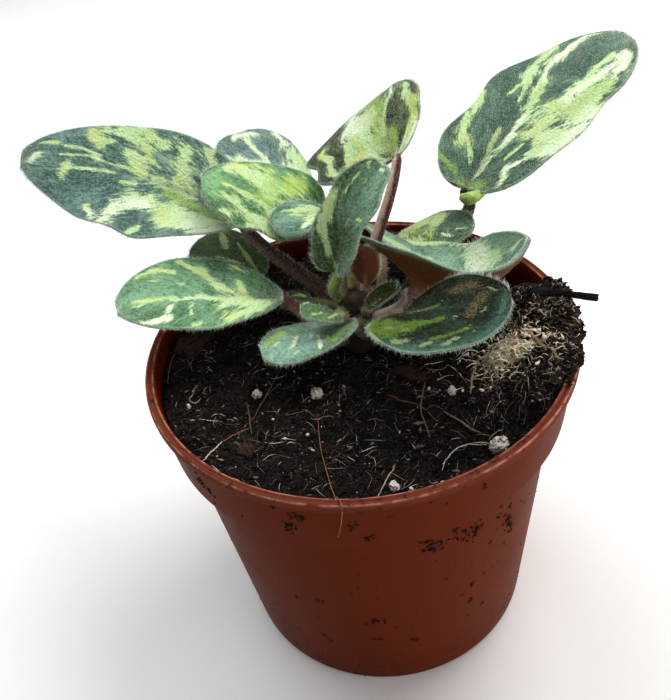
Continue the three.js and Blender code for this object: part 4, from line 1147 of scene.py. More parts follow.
def shape_relief(mesh, leaf):
    """Sinks the veins into the upper face, raises them below, and paints both faces."""
    s, v = leaf_places(mesh)
    middle, normal = blade(leaf, s, v)
    points = places_of(mesh) / MM
    above = np.sum((points - middle) * normal, 1) > 0
    veins = vein_lines(leaf, s, v)
    calm = np.sqrt(np.abs(np.sin(np.pi * s))) * (1 - v ** 4)
    closeness = np.maximum(0, 1 - np.abs(v) / 0.26)
    rib = leaf["stalk"]["radius"] * 1.1 * closeness * (1 - s) ** 1.5
    swell = 0.1 * np.sin(s * 31 + v * 5) * np.sin(v * 9 + s * 7)
    upper = (-0.26 * veins + 0.1 * (1 - veins) + swell * 0.6) * calm
    lower = -(rib + 0.2 * veins * calm)
    points = points + normal * np.where(above, upper, lower)[:, None]
    set_places(mesh, points * MM)
    colours, dry = paint(leaf, s, v)
    set_attribute(mesh, "paint", colours)
    rim = np.maximum(soft_step(0.93, 0.985, np.abs(v)), soft_step(0.975, 0.99, s))
    under = np.where(above, 0.0, 1.0) * (1 - rim)
    bleed = np.where(above, 0.55, 1.0) * closeness * np.clip(1 - s * 2.2, 0, 1) ** 1.2
    set_attribute(mesh, "part", under, bleed, veins * calm, dry)


def taken_apart(piece):
    """The points and faces of a small shape that is only copied. The shape itself is removed."""
    shape = places_of(piece.data)
    faces = np.array([list(face.vertices) for face in piece.data.polygons])
    bpy.data.objects.remove(piece)
    return shape, faces


def copied_faces(faces, corners, count):
    """The faces of many copies of a shape that has this many corners."""
    return (faces[None] + (np.arange(count) * corners)[:, None, None]).reshape(-1, 3)


def spikes(roots, ways, lengths, widths, seed):
    """Many fine three-sided spikes, copies of one cone. Returns points and faces."""
    bpy.ops.mesh.primitive_cone_add(vertices=3, radius1=1.0, radius2=0.0, depth=1.0, end_fill_type="NGON")
    bpy.ops.object.mode_set(mode="EDIT")
    bpy.ops.mesh.select_all(action="SELECT")
    bpy.ops.mesh.quads_convert_to_tris()
    bpy.ops.object.mode_set(mode="OBJECT")
    shape, faces = taken_apart(bpy.context.object)
    shape = shape + np.array([0, 0, 0.5])
    rng = np.random.default_rng(seed)
    ways = ways / np.linalg.norm(ways, axis=1, keepdims=True)
    helper = rng.normal(size=ways.shape)
    first = np.cross(ways, helper)
    first /= np.linalg.norm(first, axis=1, keepdims=True)
    second = np.cross(ways, first)
    points = (
        roots[:, None, :]
        + first[:, None, :] * (shape[None, :, 0:1] * widths[:, None, None])
        + second[:, None, :] * (shape[None, :, 1:2] * widths[:, None, None])
        + ways[:, None, :] * (shape[None, :, 2:3] * lengths[:, None, None])
    )
    return points.reshape(-1, 3), copied_faces(faces, len(shape), len(roots))


def mesh_piece(name, points, faces):
    """A piece from many copied triangles."""
    mesh = bpy.data.meshes.new(name)
    faces = np.asarray(faces)
    mesh.vertices.add(len(points))
    mesh.vertices.foreach_set("co", np.asarray(points, dtype=float).ravel())
    mesh.loops.add(faces.size)
    mesh.loops.foreach_set("vertex_index", faces.ravel())
    mesh.polygons.add(len(faces))
    mesh.polygons.foreach_set("loop_start", np.arange(0, faces.size, 3))
    mesh.update(calc_edges=True)
    mesh.validate()
    piece = bpy.data.objects.new(name, mesh)
    bpy.context.scene.collection.objects.link(piece)
    return piece


def bezier(points, t):
    """Places along the curve that four points steer."""
    a, b, c, d = [np.asarray(p)[None] for p in points]
    t = t[:, None]
    return (1 - t) ** 3 * a + 3 * (1 - t) ** 2 * t * b + 3 * (1 - t) * t ** 2 * c + t ** 3 * d


def leaf_hairs(name, leaf, seed):
    """Hairs on both faces, along the edge and on the stalk."""
    rng = np.random.default_rng(seed)
    looks = bpy.context.scene.violet_leaves
    area = leaf["length"] * leaf["width"] * 0.75
    roots, ways, lengths, widths = [], [], [], []

    def add(root, way, length, width):
        roots.append(root)
        ways.append(way)
        lengths.append(length)
        widths.append(width)

    for face, density in ((1.0, looks.upper_hairs / 100), (-1.0, looks.lower_hairs / 100)):
        count = int(area * density * leaf["bloom_and_light"])
        s = (1 - np.cos(np.pi * rng.random(count))) / 2 * 0.98 + 0.01
        v = rng.uniform(-0.99, 0.99, count)
        length, width = rng.uniform(0.35, 0.8, count), rng.uniform(0.015, 0.026, count)
        middle, normal = blade(leaf, s, v)
        _, along, _, _ = midrib(leaf, s)
        depth = thickness(leaf, s, v) / 2 * face
        jitter = rng.normal(size=normal.shape) * 0.28
        add(middle + normal * depth[:, None] * 0.8, normal * face + along * 0.55 + jitter, length, width)
    count = int((leaf["length"] * 2 + leaf["width"]) * RIM_HAIRS)
    s = (1 - np.cos(np.pi * rng.random(count))) / 2 * 0.985 + 0.008
    v = np.where(rng.random(count) < 0.5, -1.0, 1.0)
    middle, normal = blade(leaf, s, v)
    inner, _ = blade(leaf, s, v * 0.9)
    _, along, _, _ = midrib(leaf, s)
    outward = middle - inner
    outward /= np.maximum(1e-6, np.linalg.norm(outward, axis=1, keepdims=True))
    root = middle + normal * rng.uniform(-0.2, 0.2, count)[:, None]
    spread = normal * rng.normal(0, 0.5, count)[:, None]
    way = outward + spread + along * rng.uniform(0, 0.7, count)[:, None]
    add(root, way, rng.uniform(0.6, 1.5, count), rng.uniform(0.018, 0.03, count))
    steer = stalk_points(leaf)[:4]
    span = np.linalg.norm(steer[3] - steer[0])
    count = int(span * leaf["stalk"]["radius"] * STALK_HAIRS)
    t = rng.random(count)
    centre = bezier(steer, t)
    ahead = bezier(steer, np.minimum(1, t + 0.01)) - bezier(steer, np.maximum(0, t - 0.01))
    ahead /= np.linalg.norm(ahead, axis=1, keepdims=True)
    around = np.cross(ahead, rng.normal(size=ahead.shape))
    around /= np.linalg.norm(around, axis=1, keepdims=True)
    radius = leaf["stalk"]["radius"] * (1.12 - 0.27 * t)
    root = centre + around * radius[:, None] * 0.92
    way = around + ahead * 0.25 + rng.normal(size=around.shape) * 0.2
    add(root, way, rng.uniform(0.5, 1.3, count), rng.uniform(0.016, 0.028, count))
    lengths, widths = np.concatenate(lengths) * MM, np.concatenate(widths) * MM
    points, faces = spikes(np.vstack(roots) * MM, np.vstack(ways), lengths, widths, seed)
    return mesh_piece("hairs_" + name, points, faces)


def soft_step(low, high, value):
    """0 below low, 1 above high and a soft change between them."""
    t = np.clip((value - low) / (high - low), 0, 1)
    return t * t * (3 - 2 * t)


def soil_height(x, y):
    """The soil's height: a heap at the right, a rise at the left, a hollow at the crown and a slow swell."""
    radius = np.hypot(x, y)
    azimuth = np.degrees(np.arctan2(y, x))
    share = soft_step(HEAP_FROM - 16, HEAP_FROM + 4, azimuth)
    share = share * (1 - soft_step(HEAP_TO - 4, HEAP_TO + 14, azimuth))
    heap = share * soft_step(24, 40, radius) * HEAP_RISE
    left = (0.5 - 0.5 * np.cos(np.radians(azimuth + 4))) ** 2 * soft_step(22, 41, radius) * LEFT_RISE
    hollow = np.exp(-(((x - CROWN_X) / 9) ** 2) - ((y - CROWN_Y) / 9) ** 2) * 2.6
    swell = 0.7 * np.sin(0.21 * x + 1.3) * np.cos(0.17 * y - 0.4) + 0.35 * np.sin(0.53 * x - 0.47 * y)
    return SOIL_LEVEL + heap + left - hollow + swell


def inner_wall(z):
    """The pot's inside radius at a height."""
    return np.interp(z, INSIDE_HEIGHTS, INSIDE_RADII)


def outer_wall(z):
    """The pot's outside radius at a height."""
    return np.interp(z, OUTSIDE_HEIGHTS, OUTSIDE_RADII)


def grow_rings(piece, size, level, rings):
    """Extrudes the top face upwards through rings of radius and height, and stays in edit mode."""
    bpy.ops.object.mode_set(mode="EDIT")
    bpy.ops.mesh.select_mode(type="FACE")
    edit = bmesh.from_edit_mesh(piece.data)
    for face in edit.faces:
        face.select_set(face.normal.z > 0.9)
    bmesh.update_edit_mesh(piece.data)
    for radius, height in rings:
        bpy.ops.mesh.extrude_region_move(TRANSFORM_OT_translate={"value": (0, 0, (height - level) * MM)})
        bpy.ops.transform.resize(value=(radius / size, radius / size, 1))
        size, level = radius, height


def make_soil_top():
    """The soil's surface: a disc shaped by its height, with clods, a heap over the lip and a rough skin."""
    rng = np.random.default_rng(7)
    bpy.ops.mesh.primitive_grid_add(x_subdivisions=168, y_subdivisions=52, size=2)
    disc = named("soil_top")
    flat = places_of(disc.data)
    angle = np.pi * (flat[:, 0] + 1)
    radius = 0.6 + 41.9 * (flat[:, 1] + 1) / 2
    x, y = radius * np.cos(angle), radius * np.sin(angle)
    set_places(disc.data, np.stack([x, y, soil_height(x, y)], -1) * MM)
    only(disc)
    bpy.ops.object.mode_set(mode="EDIT")
    bpy.ops.mesh.select_all(action="SELECT")
    bpy.ops.mesh.remove_doubles(threshold=1e-6)
    bpy.ops.mesh.select_all(action="DESELECT")
    bpy.ops.mesh.select_mode(type="EDGE")
    edit = bmesh.from_edit_mesh(disc.data)
    for edge in edit.edges:
        middle = (edge.verts[0].co + edge.verts[1].co) / 2
        edge.select_set(edge.is_boundary and math.hypot(middle.x, middle.y) > 0.03)
    bmesh.update_edit_mesh(disc.data)
    bpy.ops.mesh.extrude_edges_move(TRANSFORM_OT_translate={"value": (0, 0, -0.004)})
    bpy.ops.transform.resize(value=(0.98, 0.98, 0.0001), center_override=(0, 0, 0.0655))
    bpy.ops.mesh.fill()
    bpy.ops.mesh.select_all(action="SELECT")
    bpy.ops.mesh.fill_holes(sides=0)
    bpy.ops.mesh.normals_make_consistent(inside=False)
    bpy.ops.object.mode_set(mode="OBJECT")
    pieces = [disc]
    lumps = []
    for i in range(22):
        angle = math.radians(HEAP_FROM + 2 + (HEAP_TO - HEAP_FROM - 6) * (i + 0.6 * rng.random()) / 22)
        radius = 43.7 + 1.5 * (rng.random() - 0.5)
        size = (1.2 + 1.1 * rng.random()) * min(1, 0.4 + 0.15 * i)
        height = 77.3 + 0.8 * rng.random()
        lumps.append((radius * math.cos(angle), radius * math.sin(angle), height, size, 0.62))
    for i in range(150):
        on_heap = i % 3 == 0
        if on_heap:
            angle = math.radians(HEAP_FROM + (HEAP_TO - HEAP_FROM - 2) * rng.random())
            radius = 34 + 9.5 * rng.random()
        else:
            angle = 2 * math.pi * rng.random()
            radius = 41 * math.sqrt(rng.random())
        size = 0.6 + 1.2 * rng.random() ** 2
        x, y = radius * math.cos(angle), radius * math.sin(angle)
        z = float(soil_height(np.array(x), np.array(y)))
        if radius > 41:
            z = max(z, 77.6)
        if from_crown(x, y) > 8:
            lumps.append((x, y, z, size, 0.7))
    for x, y, z, size, flat_share in lumps:
        bpy.ops.mesh.primitive_ico_sphere_add(
            subdivisions=2, radius=size * MM, location=(x * MM, y * MM, z * MM),
            rotation=(0, 0, NEARLY_A_TURN * rng.random()), scale=(1 + 0.4 * rng.random(), 0.9, flat_share),
        )
        pieces.append(bpy.context.object)
    soil = join_all(pieces, "soil_top")
    bpy.ops.object.transform_apply()
    remesh = soil.modifiers.new("weld", "REMESH")
    remesh.mode = "VOXEL"
    remesh.voxel_size = bpy.context.scene.violet_soil.grain
    roughen(soil, "clods", 2.2, 1.3)
    roughen(soil, "crumbs", 0.8, 0.5)
    apply_all(soil)
    points = places_of(soil.data) / MM
    keep_off_pot(points)
    set_places(soil.data, points * MM)
    return soil


def keep_off_pot(points):
    """Moves soil points out of the pot's wall and lip."""
    radius = np.hypot(points[:, 0], points[:, 1])
    height = points[:, 2].copy()
    wall = inner_wall(height) - POT_CLEARANCE
    top = LIP_TOP + POT_CLEARANCE
    over = (radius > wall) & (height > WALL_TOP) & (height < top) & (radius < LIP_OUTSIDE)
    points[over, 2] = top
    inside = (radius > wall) & (height <= WALL_TOP) & (radius < LIP_OUTSIDE + POT_CLEARANCE)
    points[inside, :2] *= (wall[inside] / radius[inside])[:, None]


def make_soil_bulk():
    """The soil's body under its surface, turned to the pot's inside."""
    place = (0, 0, 2.0 * MM)
    bpy.ops.mesh.primitive_cylinder_add(vertices=72, radius=33.4 * MM, depth=0.4 * MM, location=place)
    bulk = named("soil_bulk")
    bpy.ops.object.transform_apply()
    grow_rings(bulk, 33.4, 2.2, ((39.0, 62.2), (41.3, 64.0), (41.2, 66.5)))
    bpy.ops.object.mode_set(mode="OBJECT")
    roughen(bulk, "bulk_grain", 3, 0.25)
    apply_all(bulk)
    return bulk


class Ground:
    """Finds the top of a piece at a place, in millimetres."""

    def __init__(self, piece):
        points = [v.co.copy() for v in piece.data.vertices]
        faces = [tuple(p.vertices) for p in piece.data.polygons]
        self.tree = BVHTree.FromPolygons(points, faces)

    def at(self, x, y):
        hit, _, _, _ = self.tree.ray_cast(Vector((x * MM, y * MM, 0.1)), Vector((0, 0, -1)))
        return None if hit is None else hit.z / MM


def soil_ground():
    """The soil's surface, which has to be modelled before anything that lies on it."""
    soil = bpy.data.objects.get("soil_top")
    if soil is None:
        raise RuntimeError("The soil has to be modelled first")
    return Ground(soil)


def scatter(name, shape, roots, sizes, seed, tones, flat=0.65):
    """One piece from many jittered, turned copies of one small shape, each with its tone."""
    points, faces = shape
    rng = np.random.default_rng(seed)
    count = len(points)
    places = np.empty((len(roots), count, 3))
    for i, (root, size) in enumerate(zip(np.array(roots), sizes)):
        turn = Matrix.Rotation(NEARLY_A_TURN * rng.random(), 3, Vector(rng.normal(size=3)).normalized())
        jitter = 1 + 0.4 * (rng.random(count) - 0.5)
        stretch = np.array([1.0 + 0.9 * rng.random(), 0.8, flat])
        places[i] = root + (points * jitter[:, None] * stretch * size) @ np.array(turn)
    piece = mesh_piece(name, places.reshape(-1, 3) * MM, copied_faces(faces, count, len(roots)))
    set_tone(piece.data, np.repeat(np.asarray(tones), count))
    return piece


def small_lump():
    """The shape that specks are copied from."""
    bpy.ops.mesh.primitive_ico_sphere_add(subdivisions=1, radius=1.0)
    return taken_apart(bpy.context.object)


def flake_shape():
    """The eight-sided shape that peat flakes are copied from."""
    deselect()
    bpy.ops.mesh.primitive_cone_add(
        vertices=4, radius1=1.0, depth=1.0, end_fill_type="NOTHING", location=(0.0, 0.0, 0.5)
    )
    flake = bpy.context.object
    bpy.ops.object.transform_apply()
    flake.modifiers.new("other_half", "MIRROR").use_axis = (False, False, True)
    apply_all(flake)
    return taken_apart(flake)


def clumping(x, y):
    """How often a loose bit lies at a place, so that they gather in clumps."""
    wide = noise.noise(Vector((x * 0.16, y * 0.16, 3.0)))
    fine = noise.noise(Vector((x * 0.5, y * 0.5, 7.0)))
    return 0.55 + 1.1 * wide + 0.8 * fine


def from_crown(x, y):
    return math.hypot(x - CROWN_X, y - CROWN_Y)


def make_crumbs(ground):
    """Loose crumbs all over the soil, more of them on the heap."""
    rng = np.random.default_rng(17)
    shape = flake_shape()
    roots, sizes, tones = [], [], []
    while len(roots) < bpy.context.scene.violet_soil.crumbs:
        if rng.random() < 0.38:
            radius = 30 + 16.4 * rng.random() ** 0.8
            azimuth = math.radians(rng.uniform(HEAP_FROM - 4, HEAP_TO + 2))
        else:
            radius = 42 * math.sqrt(rng.random())
            azimuth = 2 * math.pi * rng.random()
        x, y = radius * math.cos(azimuth), radius * math.sin(azimuth)
        if from_crown(x, y) < 5.5 or rng.random() > clumping(x, y):
            continue
        z = ground.at(x, y)
        if z is None or (z < 76 and radius > inner_wall(z) - 0.5):
            continue
        size = 0.13 + 0.6 * rng.random() ** 4
        roots.append((x, y, z + 0.2 * size))
        sizes.append(size)
        tones.append(rng.random() ** (1.3 if size < 0.24 else 5.0))
    return scatter("soil_crumbs", shape, roots, sizes, 18, tones, 0.4)


def tube(path, radius, sides):
    """Points and faces of one thin closed strand along a path."""
    path = np.asarray(path, dtype=float)
    ahead = np.gradient(path, axis=0)
    ahead /= np.maximum(1e-9, np.linalg.norm(ahead, axis=1, keepdims=True))
    across = np.cross(ahead, (0.13, 0.27, 0.95))
    across /= np.maximum(1e-9, np.linalg.norm(across, axis=1, keepdims=True))
    other = np.cross(ahead, across)
    angle = 2 * np.pi * np.arange(sides) / sides
    share = np.linspace(0, 1, len(path))
    width = radius * (1 - 0.5 * np.abs(2 * share - 1) ** 3)
    ring = across[:, None] * np.cos(angle)[None, :, None] + other[:, None] * np.sin(angle)[None, :, None]
    points = (path[:, None] + ring * width[:, None, None]).reshape(-1, 3)
    faces = []
    for i in range(len(path) - 1):
        for j in range(sides):
            a, b = i * sides + j, i * sides + (j + 1) % sides
            faces += [(a, b, b + sides), (a, b + sides, a + sides)]
    last = (len(path) - 1) * sides
    for j in range(1, sides - 1):
        faces += [(0, j + 1, j), (last, last + j, last + j + 1)]
    return points, np.array(faces)


def bundle(name, strands, sides):
    """One piece from many strands, each a path, a radius and a tone."""
    points, faces, tones, start = [], [], [], 0
    for path, radius, tone in strands:
        some, index = tube(path, radius, sides)
        points.append(some)
        faces.append(index + start)
        tones.append(np.full(len(some), tone))
        start += len(some)
    piece = mesh_piece(name, np.vstack(points) * MM, np.vstack(faces))
    set_tone(piece.data, np.concatenate(tones))
    return piece


def lying_strand(rng, ground, x, y, length, radius, lift):
    """A path of a strand that lies on the soil in a loose curve."""
    heading = NEARLY_A_TURN * rng.random()
    bend = rng.normal() * 0.3
    path = []
    steps = 5
    for i in range(steps):
        z = ground.at(x, y)
        if z is None or (z < 76.5 and math.hypot(x, y) > inner_wall(z) - 0.3):
            break
        arch = math.sin(math.pi * i / (steps - 1)) * lift
        path.append((x, y, z + radius * 0.6 + arch))
        heading += bend * length / steps / 2 + rng.normal() * 0.16
        x += math.cos(heading) * length / steps
        y += math.sin(heading) * length / steps
    return path


def make_fibres(ground):
    """Fine roots and peat fibres over the soil."""
    rng = np.random.default_rng(23)
    strands = []
    while len(strands) < bpy.context.scene.violet_soil.fibres:
        if rng.random() < 0.45:
            radius = 28 + 17 * rng.random()
            azimuth = math.radians(rng.uniform(HEAP_FROM - 6, HEAP_TO))
        else:
            radius = 41 * math.sqrt(rng.random())
            azimuth = 2 * math.pi * rng.random()
        x, y = radius * math.cos(azimuth), radius * math.sin(azimuth)
        if from_crown(x, y) < 6 or rng.random() > clumping(x, y):
            continue
        thick = 0.025 + 0.08 * rng.random() ** 3
        length = 0.9 + 5.4 * rng.random() ** 2
        path = lying_strand(rng, ground, x, y, length, thick, 0.06 + 0.55 * rng.random() ** 2)
        if len(path) >= 4:
            strands.append((path, thick, rng.random() ** 1.15))
    return bundle("soil_fibres", strands, 3)


def smooth_path(points, count=26):
    """A smooth run through a few points."""
    points = np.array(points, dtype=float)
    ends = np.vstack([2 * points[0] - points[1], points, 2 * points[-1] - points[-2]])
    path = []
    for i in range(len(points) - 1):
        p0, p1, p2, p3 = ends[i:i + 4]
        for t in np.linspace(0, 1, max(3, count // (len(points) - 1)), endpoint=False):
            path.append(0.5 * (2 * p1 + (p2 - p0) * t + (2 * p0 - 5 * p1 + 4 * p2 - p3) * t * t
                               + (3 * p1 - p0 - 3 * p2 + p3) * t ** 3))
    path.append(points[-1])
    return np.array(path)


def make_strands(ground):
    """The few long strands and straws that stand out on the soil."""
    rng = np.random.default_rng(29)
    strands = []
    tints = []
    for points, radius, colour in STRANDS:
        path = smooth_path(points)
        path += np.cumsum(rng.normal(size=path.shape) * 0.03, 0)
        for place in path:
            if math.hypot(place[0], place[1]) < 42:
                z = ground.at(place[0], place[1])
                if z is not None:
                    place[2] = max(place[2] * 0.35 + (z + radius) * 0.65, z + radius * 0.5)
        strands.append((path, radius, 0.5))
        tints.append(np.tile(linear(colour), (len(path) * 6, 1)))
    piece = bundle("soil_strands", strands, 6)
    set_attribute(piece.data, "tint", np.vstack(tints))
    return piece


def strand_finish():
    """Roots and straws, each with its own tint."""
    recipe = Recipe("strand_skin")
    tint = recipe.node("ShaderNodeAttribute", {"attribute_name": "tint"})
    grain = recipe.noise(recipe.place(), 1700.0, 3.0, 0.6)
    colour = recipe.mix(grain.step(0.35, 0.7) * 0.6, tint, linear((60, 42, 32)))
    return recipe.finish(colour, grain * 0.2 + 0.6, recipe.bump(grain, 0.0003, 0.6))


def turned_place(shape, at, turn, tilt):
    """Turns a shape about the vertical, tilts it and moves it, as its CAD node is."""
    matrix = Matrix.Rotation(math.radians(turn), 3, "Z") @ Matrix.Rotation(math.radians(tilt), 3, "Y")
    return shape @ np.array(matrix).T + np.array(at)


def make_lump(name, at, half, turn, tilt, amounts):
    """A rough grain: a ball pressed to its half sizes and roughened."""
    bpy.ops.mesh.primitive_ico_sphere_add(subdivisions=5, radius=1.0)
    piece = named(name)
    shape = places_of(piece.data) * np.array(half)
    set_places(piece.data, turned_place(shape, at, turn, tilt) * MM)
    for i, (size, amount) in enumerate(amounts):
        roughen(piece, name + "_rough_" + str(i), size, amount)
    return smoothed(piece)


def cut_block(name, cuts):
    """A block whose faces are cut into a fine grid."""
    bpy.ops.mesh.primitive_cube_add(size=2)
    piece = named(name)
    bpy.ops.object.mode_set(mode="EDIT")
    bpy.ops.mesh.select_all(action="SELECT")
    bpy.ops.mesh.subdivide(number_cuts=cuts)
    bpy.ops.object.mode_set(mode="OBJECT")
    return piece


def make_chip(name, at, half, turn, tilt):
    """A flat bark chip with broken edges and a grain along it."""
    piece = cut_block(name, 24)
    shape = places_of(piece.data)
    x, y = shape[:, 0].copy(), shape[:, 1].copy()
    edge = 0.1 * np.sin(5 * y + 1.3 * half[0]) + 0.06 * np.sin(13 * y)
    side = 0.14 * np.sin(4 * x + half[1]) + 0.05 * np.sin(11 * x + 1)
    grooves = 0.22 * np.sin(9 * y + 2 * x)
    shape[:, 0] = x * (1 - 0.16 * np.abs(y) ** 3) + edge * np.sign(x) * np.abs(x)
    shape[:, 1] = y * (0.92 + side - 0.12 * x)
    shape[:, 2] = shape[:, 2] * (1 - 0.3 * np.abs(x) ** 3) + grooves + 0.15 * np.sin(23 * y)
    set_places(piece.data, turned_place(shape * np.array(half), at, turn, tilt) * MM)
    roughen(piece, name + "_chips", 1.6, 0.5)
    roughen(piece, name + "_grain", 0.4, 0.18)
    return smoothed(piece)


def make_splinter():
    """A dark splinter that tapers out over the lip, with a broken end."""
    start, end = np.array(SPLINTER_FROM, dtype=float), np.array(SPLINTER_TO, dtype=float)
    length = np.linalg.norm(end - start)
    along = (end - start) / length
    across = np.cross((0, 0, 1), along)
    across /= np.linalg.norm(across)
    up = np.cross(along, across)
    piece = cut_block("bark_splinter_piece", 30)
    shape = places_of(piece.data)
    t = (shape[:, 0] + 1) / 2
    corner = 1 - 0.28 * (shape[:, 1] * shape[:, 2]) ** 2
    wide = (1.7 - 1.05 * soft_step(0.0, 0.5, t)) * (1 + 0.1 * np.sin(9 * t)) * corner
    thick = (0.72 - 0.14 * t) * (1 + 0.12 * np.sin(7 * t + 1)) * corner
    ragged = 0.25 * np.sin(7 * shape[:, 1] + 3 * shape[:, 2]) * soft_step(0.9, 1, t)
    points = (
        start + along * ((t + ragged / length) * length)[:, None]
        + across * (shape[:, 1] * wide + 0.15 * np.sin(5 * t))[:, None]
        + up * (shape[:, 2] * thick + 0.12 * np.sin(4 * t) + 0.07 * np.sin(16 * shape[:, 1]))[:, None]
    )
    set_places(piece.data, points * MM)
    roughen(piece, "splinter_chips", 1.3, 0.3)
    roughen(piece, "splinter_grain", 0.35, 0.16)
    return smoothed(piece)


def highest(x, y, *grounds):
    """The top of whatever lies highest at a place, or 0 where nothing lies."""
    return max([0] + [z for z in (ground.at(x, y) for ground in grounds) if z is not None])


def patch_fibres(rng, top):
    """The short fibres that lie over the patch, most of them along it."""
    at, half, turn, tilt = PATCH
    strands = []
    while len(strands) < PATCH_FIBRES:
        spread = 0.5 if len(strands) < PATCH_FIBRES * 2 / 3 else 1.1
        spot = turned_place(rng.normal(size=3) * (half[0] * spread, half[1] * spread, 0), at, turn, tilt)
        heading = rng.uniform(-1.3, 0.7) + (3.14 if rng.random() < 0.5 else 0)
        length = 1.2 + 4.5 * rng.random() ** 1.6
        bend = rng.normal() * 0.35
        x, y = spot[0], spot[1]
        path = []
        lift = 0.15 + 0.9 * rng.random() ** 3
        for i in range(7):
            level = highest(x, y, *top)
            if level < PATCH_LOWEST:
                break
            path.append((x, y, level + 0.05 + lift * math.sin(math.pi * i / 6)))
            heading += bend * 0.4 + rng.normal() * 0.12
            x += math.cos(heading) * length / 7
            y += math.sin(heading) * length / 7
        if len(path) >= 5:
            strands.append((path, 0.05 + 0.12 * rng.random() ** 2, rng.random() ** 0.6))
    return bundle("fibre_mat", strands, 4)


def patch_chips(rng, top):
    """The pale flakes between the patch's fibres."""
    at, half, turn, tilt = PATCH
    shape = flake_shape()
    roots, sizes = [], []
    while len(roots) < PATCH_CHIPS:
        spread = 0.55 if len(roots) < 400 else 1.0
        spot = turned_place(rng.normal(size=3) * (half[0] * spread, half[1] * spread, 0), at, turn, tilt)
        height = highest(spot[0], spot[1], *top)
        if height > PATCH_LOWEST and math.hypot(spot[0], spot[1]) < 42:
            roots.append((spot[0], spot[1], height + 0.2 * rng.random()))
            sizes.append(0.2 + 0.7 * rng.random() ** 2)
    return scatter("fibre_chips", shape, roots, sizes, 32, rng.random(len(roots)) ** 0.5, 0.3)


def make_patch(ground):
    """The pale patch of matted fibre: a rough pad under many short fibres."""
    at, half, turn, tilt = PATCH
    pad_half = (half[0] * 0.9, half[1] * 0.9, 0.9)
    pad = make_lump("fibre_pad", at, pad_half, turn, tilt, [(2.2, 1.3), (0.7, 0.6)])
    set_tone(pad.data, np.sin(places_of(pad.data)[:, 2] * 6000) * 0.25 + 0.45)
    rng = np.random.default_rng(31)
    top = (Ground(pad), ground)
    mat = patch_fibres(rng, top)
    chips = patch_chips(rng, top)
    return join_all([pad, mat, chips], "fibre_patch_mat")


def make_specks(ground):
    """Small white specks of perlite over the soil."""
    rng = np.random.default_rng(37)
    shape = small_lump()
    roots, sizes, tones = [], [], []

    def drop(x, y, size, tone):
        roots.append((x, y, ground.at(x, y) + 0.3 * size))
        sizes.append(size)
        tones.append(tone)

    for x, y, size in SPECKS:
        drop(x, y, size, 0.85)
    while len(roots) < SPECK_COUNT:
        radius, azimuth = 41 * math.sqrt(rng.random()), 2 * math.pi * rng.random()
        x, y = radius * math.cos(azimuth), radius * math.sin(azimuth)
        if from_crown(x, y) < 7:
            continue
        size = 0.1 + 0.24 * rng.random() ** 2
        drop(x, y, size, 0.3 + 0.7 * rng.random())
    return scatter("perlite_specks", shape, roots, sizes, 38, tones)


def make_pot_crumbs():
    """Crumbs of soil that stick to the pot's outside."""
    rng = np.random.default_rng(41)
    shape = flake_shape()
    roots, sizes, tones = [], [], []

    def stick(azimuth, height, size):
        angle = math.radians(azimuth)
        radius = float(outer_wall(height)) + 0.12 * size
        roots.append((radius * math.cos(angle), radius * math.sin(angle), height))
        sizes.append(size)
        tones.append(rng.random())

    for azimuth, height, size in POT_CRUMBS:
        for _ in range(CRUMBS_IN_A_CLUSTER):
            near = rng.normal(size=2) * size * 0.85
            radius = float(outer_wall(height))
            stick(azimuth + math.degrees(near[0] / radius), height + near[1], size * rng.uniform(0.12, 0.5))
    for _ in range(SINGLE_POT_CRUMBS):
        low = rng.random() < 0.3
        height = 0.6 + 12 * rng.random() ** 2 if low else 73 * rng.random() ** 0.6 + 1
        stick(360 * rng.random(), height, 0.05 + 0.2 * rng.random() ** 3)
    return scatter("pot_crumbs", shape, roots, sizes, 42, tones)


def pot_rings():
    """The pot's wall as rings of radius and height, from under its base to its inner floor."""
    outside = [(0.6, 0.35), (24, 0.35), (31.4, 0.3), (32.2, 0.0), (34.2, 0.0), (34.75, 0.25), (35.05, 0.8)]
    outside += [(35 + 5.5 * z / 61.5, z) for z in (6, 14, 24, 34, 44, 54, 60.6)]
    outside += [(40.5, 61.4), (40.75, 61.75), (42.7, 62.3), (43.0, 62.6), (43.08, 63.2), (43.6, 68.5)]
    lip = [(44.2, 74.4), (44.75, 74.85), (45.0, 75.3), (45.05, 75.9), (44.98, 76.4), (44.75, 76.8)]
    lip += [(44.4, 77.0), (44.05, 76.92), (43.9, 76.78), (43.75, 76.9), (43.4, 76.95), (43.1, 76.8)]
    lip += [(42.9, 76.4)]
    inside = [(42.7, 74.4), (41.9, 63.6), (41.6, 63.3), (39.6, 62.5), (39.4, 62.1), (36.7, 32), (34.1, 2.0)]
    inside += [(33.5, 1.4), (20, 1.4), (0.6, 1.4)]
    return outside + lip + inside


